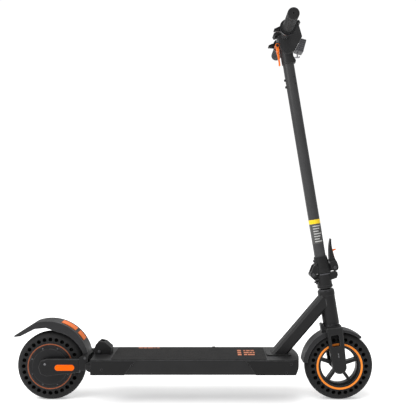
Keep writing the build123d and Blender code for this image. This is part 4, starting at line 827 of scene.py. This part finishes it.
# ------------------------------------------------------------------ sub-assemblies
@dataclass
class Wheels:
    """Trim on both wheels: rim rings, and the beads and screws of the motor's covers.

    A shoulder is the share of a ring's height, or of a bead's width, that its bevel leaves.
    """

    maker: Maker
    places: Measures
    steps: int = 96
    ring_inner: float = 62.3
    ring_outer: float = 67.9
    ring_height: float = 0.7
    ring_bevel: float = 0.5
    rear_ring_inset: float = 1.4
    flange_face: float = 23.6
    bead_radii: tuple[float, ...] = (50.0, 40.0, 24.0)
    bead_width: float = 2.4
    bead_height: float = 0.9
    cover_face: float = 24.95
    shoulder: float = 0.6
    screw_size: Point = (2.1, 1.8, 1.1)
    screw_circle: float = 56.5
    screw_face: float = 24.0
    screw_count: int = 8

    def ring(
        self, name: str, centre: Vector, side: Side, inset: float, finish: str, body: str
    ) -> None:
        """Thin ring on a rim's flange.

        Args:
            name: Name of the piece.
            centre: The wheel's centre, in metres.
            side: Which side of the wheel.
            inset: How much narrower it is at each edge than the widest ring.
            finish: Name of the finish.
            body: The wheel's body.
        """
        inner = self.ring_inner + inset
        outer = self.ring_outer - inset
        top = self.ring_height
        shape = Maker.turned(
            [
                (inner, 0.0),
                (outer, 0.0),
                (outer, top * self.shoulder),
                (outer - self.ring_bevel, top),
                (inner + self.ring_bevel, top),
                (inner, top * self.shoulder),
            ],
            steps=self.steps,
        )
        face = centre + Vector((0, side.value * self.flange_face * MM, 0))
        self.maker.finish(shape, name, side_place(face, side), finish, "orange_plastic", body)

    def bead(self, side: Side, radius: float) -> None:
        """Raised bead on a motor cover, coloured lighter as a painted highlight ring.

        Args:
            side: Which cover.
            radius: Its middle radius.
        """
        half = self.bead_width / 2
        shape = Maker.turned(
            [
                (radius - half, 0.0),
                (radius + half, 0.0),
                (radius + half * self.shoulder, self.bead_height),
                (radius - half * self.shoulder, self.bead_height),
            ],
            steps=self.steps,
        )
        face = self.places.rear_axle + Vector((0, side.value * self.cover_face * MM, 0))
        name = f"motor_bead_{side.word}_{round(radius)}"
        place = side_place(face, side)
        self.maker.finish(shape, name, place, "bead_painted_highlight", "motor_alloy", "rear_wheel")

    def screw(self, side: Side, index: int) -> None:
        """Screw in a motor cover.

        Args:
            side: Which cover.
            index: Its place on the circle, from 0.
        """
        angle = 2 * math.pi * (index + 0.5) / self.screw_count
        spot = Vector((math.cos(angle), 0, math.sin(angle))) * self.screw_circle * MM
        lift = Vector((0, side.value * self.screw_face * MM, 0))
        name = f"motor_screw_{side.word}_{index + 1}"
        place = side_place(self.places.rear_axle + spot + lift, side)
        shape = Maker.screw(*self.screw_size)
        self.maker.finish(shape, name, place, "dark_screw", "steel_screws", "rear_wheel")

    def build(self) -> None:
        """Build the rings, the beads and the screws."""
        front = self.places.front_axle
        rear = self.places.rear_axle
        for side in Side:
            word = side.word
            self.ring(f"front_rim_ring_{word}", front, side, 0.0, "ring_orange", "front_wheel")
            self.ring(f"rear_rim_ring_{word}", rear, side, self.rear_ring_inset, "ring_dark",
                      "rear_wheel")
            for radius in self.bead_radii:
                self.bead(side, radius)
            for index in range(self.screw_count):
                self.screw(side, index)


@dataclass
class RearEnd:
    """Screws on the swing arm and bolts on the catch."""

    maker: Maker
    places: Measures
    arm_screw_size: Point = (3.4, 2.4, 1.8)
    arm_screw_behind: float = 9.5
    arm_screw_above: float = 12.5
    arm_screw_sunk: float = 2.0
    catch_bolt_size: Point = (4.6, 2.2, 2.0)
    catch_bolt_ahead: float = 18.0
    catch_bolt_height: float = 142.0

    def build(self) -> None:
        """Build one arm screw and one catch bolt on each side."""
        _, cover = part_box("arm_covers")
        catch_low, catch_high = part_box("latch_catch")
        behind, above = self.arm_screw_behind * MM, self.arm_screw_above * MM
        for side in Side:
            face = cover.y - self.arm_screw_sunk * MM
            spot = self.places.rear_axle + Vector((-behind, side.value * face, above))
            self.maker.finish(Maker.screw(*self.arm_screw_size), f"arm_screw_{side.word}",
                              side_place(spot, side), "satin_screw", "bright_steel", "swing_arm")
            ahead = catch_low.x + self.catch_bolt_ahead * MM
            spot = Vector((ahead, side.value * catch_high.y, self.catch_bolt_height * MM))
            self.maker.finish(Maker.screw(*self.catch_bolt_size), f"catch_bolt_{side.word}",
                              side_place(spot, side), "dark_screw", "steel_screws", "chassis")


@dataclass
class Stem:
    """Sleeves, nubs, screws, collar ring, display window and lamp lens on the stem.

    Stations are distances along the steering axis from the front axle.
    """

    maker: Maker
    places: Measures
    stem_radius: float = 16.7
    skin: float = 0.02
    sleeve_steps: int = 72
    label_low: float = 365.6
    label_high: float = 424.5
    band_high: float = 437.0
    label_proud: float = 0.18
    label_rows: int = 7
    row_margin: float = 5.0
    row_pitch: float = 7.6
    row_height: float = 3.0
    row_proud: float = 0.28
    row_sweeps: tuple[float, ...] = (78.0, 52.0, 66.0)
    row_start_right: float = -125.0
    row_start_left: float = 55.0
    nub_stations: tuple[float, ...] = (859.0, 838.5)
    nub_behind: float = 16.2
    nub_profile: tuple[tuple[float, float], ...] = (
        (0.4, 0.0), (3.6, 0.0), (3.6, 2.8), (2.6, 4.0), (0.4, 4.3)
    )
    nub_steps: int = 24
    plug_stations: tuple[float, ...] = (864.0, 843.0)
    plug_angle: float = 57.0
    plug_size: Point = (2.0, 0.9, 0.8)
    hook_pin_behind: float = 24.3
    hook_pin_station: float = 963.6
    hook_half: float = 9.1
    hook_cap_size: Point = (3.6, 1.8, 1.3)
    collar_profile: tuple[tuple[float, float], ...] = (
        (12.5, 0.0), (22.5, 0.0), (23.2, 0.8), (23.2, 3.3), (22.5, 4.0), (12.5, 4.0)
    )
    collar_station: float = 272.2
    collar_sweep: float = 250.0
    window_size: tuple[float, ...] = (65.4, 39.4, 1.2, 5.7, 0.4)
    window_ahead: float = 6.0
    window_lift: float = 7.6
    lens_size: tuple[float, ...] = (29.3, 29.3, 2.4, 5.6, 0.9)
    lens_sunk: float = 2.9

    def sleeve(
        self,
        name: str,
        low: float,
        high: float,
        proud: float,
        finish: str,
        sweep: float = 360.0,
        start: float = 0.0,
    ) -> None:
        """Thin sleeve round the stem.

        Args:
            name: Name of the piece.
            low: Lower station.
            high: Upper station.
            proud: How far it stands off the stem.
            finish: Name of the finish.
            sweep: How far it goes round.
            start: Where it starts.
        """
        inner = self.stem_radius + self.skin
        outer = self.stem_radius + proud
        section = [(inner, low), (outer, low), (outer, high), (inner, high)]
        shape = Maker.turned(section, self.sleeve_steps, sweep, start)
        self.maker.finish(shape, name, self.places.steering, finish, "gloss_black", "stem")

    def build_label(self) -> None:
        """Dark label with plain rows, and the coloured band above it."""
        self.sleeve("stem_label", self.label_low, self.label_high, self.label_proud, "label_dark")
        self.sleeve("stem_band", self.label_high, self.band_high, self.label_proud, "label_yellow")
        starts = {Side.RIGHT: self.row_start_right, Side.LEFT: self.row_start_left}
        for index in range(self.label_rows):
            low = self.label_low + self.row_margin + index * self.row_pitch
            sweep = self.row_sweeps[index % len(self.row_sweeps)]
            for side, start in starts.items():
                self.sleeve(f"label_row_{side.word}_{index + 1}", low, low + self.row_height,
                            self.row_proud, "label_white", sweep, start)

    def build_nub(self, index: int, station: float) -> None:
        """Small rubber bumper behind the stem.

        Args:
            index: Its number.
            station: Its station.
        """
        nub = Maker.turned(list(self.nub_profile), self.nub_steps)
        spot = self.places.on_steering(-self.nub_behind, 0.0, station)
        backward = self.places.along_steering(Vector((-1, 0, 0)))
        place = Measures.frame_facing(backward, spot)
        self.maker.finish(nub, f"stem_nub_{index}", place, "rubber_black", "black_rubber", "stem")

    def build_plug(self, index: int, station: float, side: Side) -> None:
        """Small dark screw in the stem's wall.

        Args:
            index: Its number.
            station: Its station.
            side: Which side.
        """
        turn = math.radians(self.plug_angle)
        outward = Vector((math.cos(turn), side.value * math.sin(turn), 0.0))
        radial = outward * self.stem_radius
        spot = self.places.on_steering(radial.x, radial.y, station)
        place = Measures.frame_facing(self.places.along_steering(outward), spot)
        plug = Maker.screw(*self.plug_size)
        name = f"stem_plug_{side.word}_{index}"
        self.maker.finish(plug, name, place, "screw_black", "steel_screws", "stem")

    def build_hook_cap(self, side: Side) -> None:
        """Cap on one end of the folding hook's pin.

        Args:
            side: Which end.
        """
        across = side.value * self.hook_half
        spot = self.places.on_steering(-self.hook_pin_behind, across, self.hook_pin_station)
        cap = Maker.screw(*self.hook_cap_size)
        self.maker.finish(cap, f"hook_pin_cap_{side.word}", side_place(spot, side),
                          "bright_steel", "bright_steel", "stem")

    def build_collar_ring(self) -> None:
        """Ring between the two collars, open where the hinge is."""
        shape = Maker.turned(list(self.collar_profile), self.sleeve_steps, self.collar_sweep,
                             -self.collar_sweep / 2)
        place = self.places.steering @ Matrix.Translation((0, 0, self.collar_station * MM))
        self.maker.finish(shape, "collar_ring", place, "plastic_grey", "bare_alloy", "steering")

    def build_glass(self) -> None:
        """Display window and lamp lens."""
        lift = Matrix.Translation((self.window_ahead * MM, 0.0, self.window_lift * MM))
        self.maker.finish(Maker.plate(*self.window_size), "display_glass",
                          self.places.display @ lift, "gloss_black", "gloss_black", "stem")
        sunk = Matrix.Translation((0.0, 0.0, -self.lens_sunk * MM))
        self.maker.finish(Maker.plate(*self.lens_size), "headlight_lens",
                          self.places.lamp @ sunk, "lens_clear", "gloss_black", "stem")

    def build(self) -> None:
        """Build every trim piece of the stem."""
        self.build_label()
        for index, station in enumerate(self.nub_stations, start=1):
            self.build_nub(index, station)
        for index, station in enumerate(self.plug_stations, start=1):
            for side in Side:
                self.build_plug(index, station, side)
        for side in Side:
            self.build_hook_cap(side)
        self.build_collar_ring()
        self.build_glass()


@dataclass
class DeckMarks:
    """Plain coloured blocks printed on the deck mat, with no lettering.

    Places along the deck are the rear end of the first block.
    """

    maker: Maker
    rows: tuple[float, ...] = (-20.0, 4.0, 28.0)
    row_width: float = 13.0
    badge_x: float = 131.0
    badge_length: float = 11.0
    badge_width: float = 16.0
    line_x: float = 149.5
    line_lengths: tuple[tuple[float, ...], ...] = (
        (9.0, 20.0), (15.0, 7.0, 6.0), (6.0, 11.0, 10.0)
    )
    edge_x: float = -171.0
    edge_y: float = 64.0
    edge_width: float = 8.0
    edge_lengths: tuple[float, ...] = (14.0, 9.0, 17.0, 6.0, 9.0)
    gap: float = 2.4
    corner: float = 1.0
    ink: float = 0.2
    skin: float = 0.02

    def block(self, name: str, x: float, y: float, length: float, width: float) -> None:
        """One printed block.

        Args:
            name: Name of the piece.
            x: Its rear end.
            y: Its middle across the deck.
            length: Size along the deck.
            width: Size across the deck.
        """
        _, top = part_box("deck_mat")
        plate = Maker.plate(length, width, self.ink, self.corner)
        spot = Vector(((x + length / 2) * MM, y * MM, top.z + self.skin * MM))
        self.maker.finish(plate, name, Matrix.Translation(spot), "orange_print",
                          "orange_plastic", "chassis")

    def line(self, name: str, x: float, y: float, width: float, lengths: tuple[float, ...]) -> None:
        """Row of blocks along the deck.

        Args:
            name: First part of the pieces' names.
            x: Where the row starts.
            y: Its middle across the deck.
            width: Size across the deck.
            lengths: Length of each block in order.
        """
        for index, length in enumerate(lengths, start=1):
            self.block(f"{name}_{index}", x, y, length, width)
            x += length + self.gap

    def build(self) -> None:
        """Build the badge, its lines and the row near the left edge."""
        for index, (y, lengths) in enumerate(zip(self.rows, self.line_lengths), start=1):
            self.block(f"deck_badge_{index}", self.badge_x, y, self.badge_length, self.badge_width)
            self.line(f"deck_line_{index}", self.line_x, y, self.row_width, lengths)
        self.line("deck_edge", self.edge_x, self.edge_y, self.edge_width, self.edge_lengths)


# ------------------------------------------------------------------ studio
@dataclass(frozen=True)
class AreaLight:
    """A soft square light that looks at a point, in metres and watts."""

    name: str
    place: Point
    target: Point
    size: float
    power: float

    def build(self) -> None:
        """Put the light into the scene."""
        data = bpy.data.lights.new(self.name, "AREA")
        data.size = self.size
        data.energy = self.power
        lamp = bpy.data.objects.new(self.name, data)
        lamp.location = self.place
        aim = Vector(self.target) - Vector(self.place)
        lamp.rotation_euler = aim.to_track_quat("-Z", "Y").to_euler()
        bpy.context.scene.collection.objects.link(lamp)


@dataclass(frozen=True)
class Studio:
    """Floor, world, lights and camera, in metres."""

    camera_place: Point = (0.0594, -1.758, 0.5654)
    lens: float = 51.1
    sensor: float = 36.0
    shift_x: float = -0.0132
    floor_half: float = 12.0
    floor_color: Color = (0.9, 0.9, 0.9)
    floor_roughness: float = 0.9
    floor_glow: float = 0.3
    world_light: float = 0.5
    world_seen: float = 1.05
    sun_strength: float = 2.1
    sun_spread: float = 50.0
    sun_direction: Point = (0.42, 0.5, -1.0)
    area_lights: tuple[AreaLight, ...] = (
        AreaLight("key_light", (-1.9, -1.3, 1.6), (0.0, 0.0, 0.5), 1.0, 26.0),
        AreaLight("back_light", (0.2, 1.9, 2.4), (0.0, 0.0, 0.4), 2.0, 30.0),
    )

    def build(self) -> None:
        """Build the whole studio."""
        bpy.context.scene.view_settings.view_transform = "Standard"
        self.build_floor()
        self.build_world()
        self.build_sun()
        for light in self.area_lights:
            light.build()
        self.build_camera()

    def build_floor(self) -> None:
        """Large pale floor."""
        shape = bmesh.new()
        bmesh.ops.create_grid(shape, x_segments=1, y_segments=1, size=self.floor_half)
        mesh = bpy.data.meshes.new("floor")
        shape.to_mesh(mesh)
        shape.free()
        floor = bpy.data.objects.new("floor", mesh)
        material = bpy.data.materials.new("floor")
        material.use_nodes = True
        shader = material.node_tree.nodes["Principled BSDF"]
        shader.inputs["Base Color"].default_value = (*self.floor_color, 1.0)
        shader.inputs["Roughness"].default_value = self.floor_roughness
        shader.inputs["Emission Color"].default_value = (1.0, 1.0, 1.0, 1.0)
        shader.inputs["Emission Strength"].default_value = self.floor_glow
        mesh.materials.append(material)
        bpy.context.scene.collection.objects.link(floor)

    def build_world(self) -> None:
        """Even pale surroundings, plain white behind the scooter."""
        world = bpy.data.worlds.new("studio")
        world.use_nodes = True
        tree = world.node_tree
        background = tree.nodes["Background"]
        background.inputs["Color"].default_value = (1.0, 1.0, 1.0, 1.0)
        path = tree.nodes.new("ShaderNodeLightPath")
        strength = remap(
            tree, path.outputs["Is Camera Ray"], after=(self.world_light, self.world_seen)
        )
        tree.links.new(strength, background.inputs["Strength"])
        bpy.context.scene.world = world

    def build_sun(self) -> None:
        """One wide soft light from above, which also keeps the floor even."""
        data = bpy.data.lights.new("top_light", "SUN")
        data.energy = self.sun_strength
        data.angle = math.radians(self.sun_spread)
        lamp = bpy.data.objects.new("top_light", data)
        lamp.rotation_euler = Vector(self.sun_direction).to_track_quat("-Z", "Y").to_euler()
        bpy.context.scene.collection.objects.link(lamp)

    def build_camera(self) -> None:
        """Level camera at the right side."""
        data = bpy.data.cameras.new("camera")
        data.lens = self.lens
        data.sensor_width = self.sensor
        data.shift_x = self.shift_x
        camera = bpy.data.objects.new("camera", data)
        camera.location = self.camera_place
        camera.rotation_euler = (math.radians(90.0), 0.0, 0.0)
        bpy.context.scene.collection.objects.link(camera)
        bpy.context.scene.camera = camera


# ------------------------------------------------------------------ the whole scooter
def dress_nodes(frame: dict, wardrobe: Wardrobe) -> None:
    """Give every CAD node its finish.

    Args:
        frame: The loaded frame.
        wardrobe: The finishes.
    """
    for name, node in frame["nodes"].items():
        wardrobe.dress(node, NODE_FINISH[name])
        LOG.info("%s wears %s", name, NODE_FINISH[name])


def main() -> None:
    """Build the looks around the loaded frame."""
    logging.basicConfig(level=logging.INFO, format="%(name)s %(message)s")
    wardrobe = Wardrobe()
    maker = Maker(wardrobe)
    places = Measures(frame)
    dress_nodes(frame, wardrobe)
    for assembly in (
        Studio(),
        Wheels(maker, places),
        RearEnd(maker, places),
        Stem(maker, places),
        DeckMarks(maker),
    ):
        LOG.info("building %s", type(assembly).__name__)
        assembly.build()


if __name__ == "__main__":
    main()
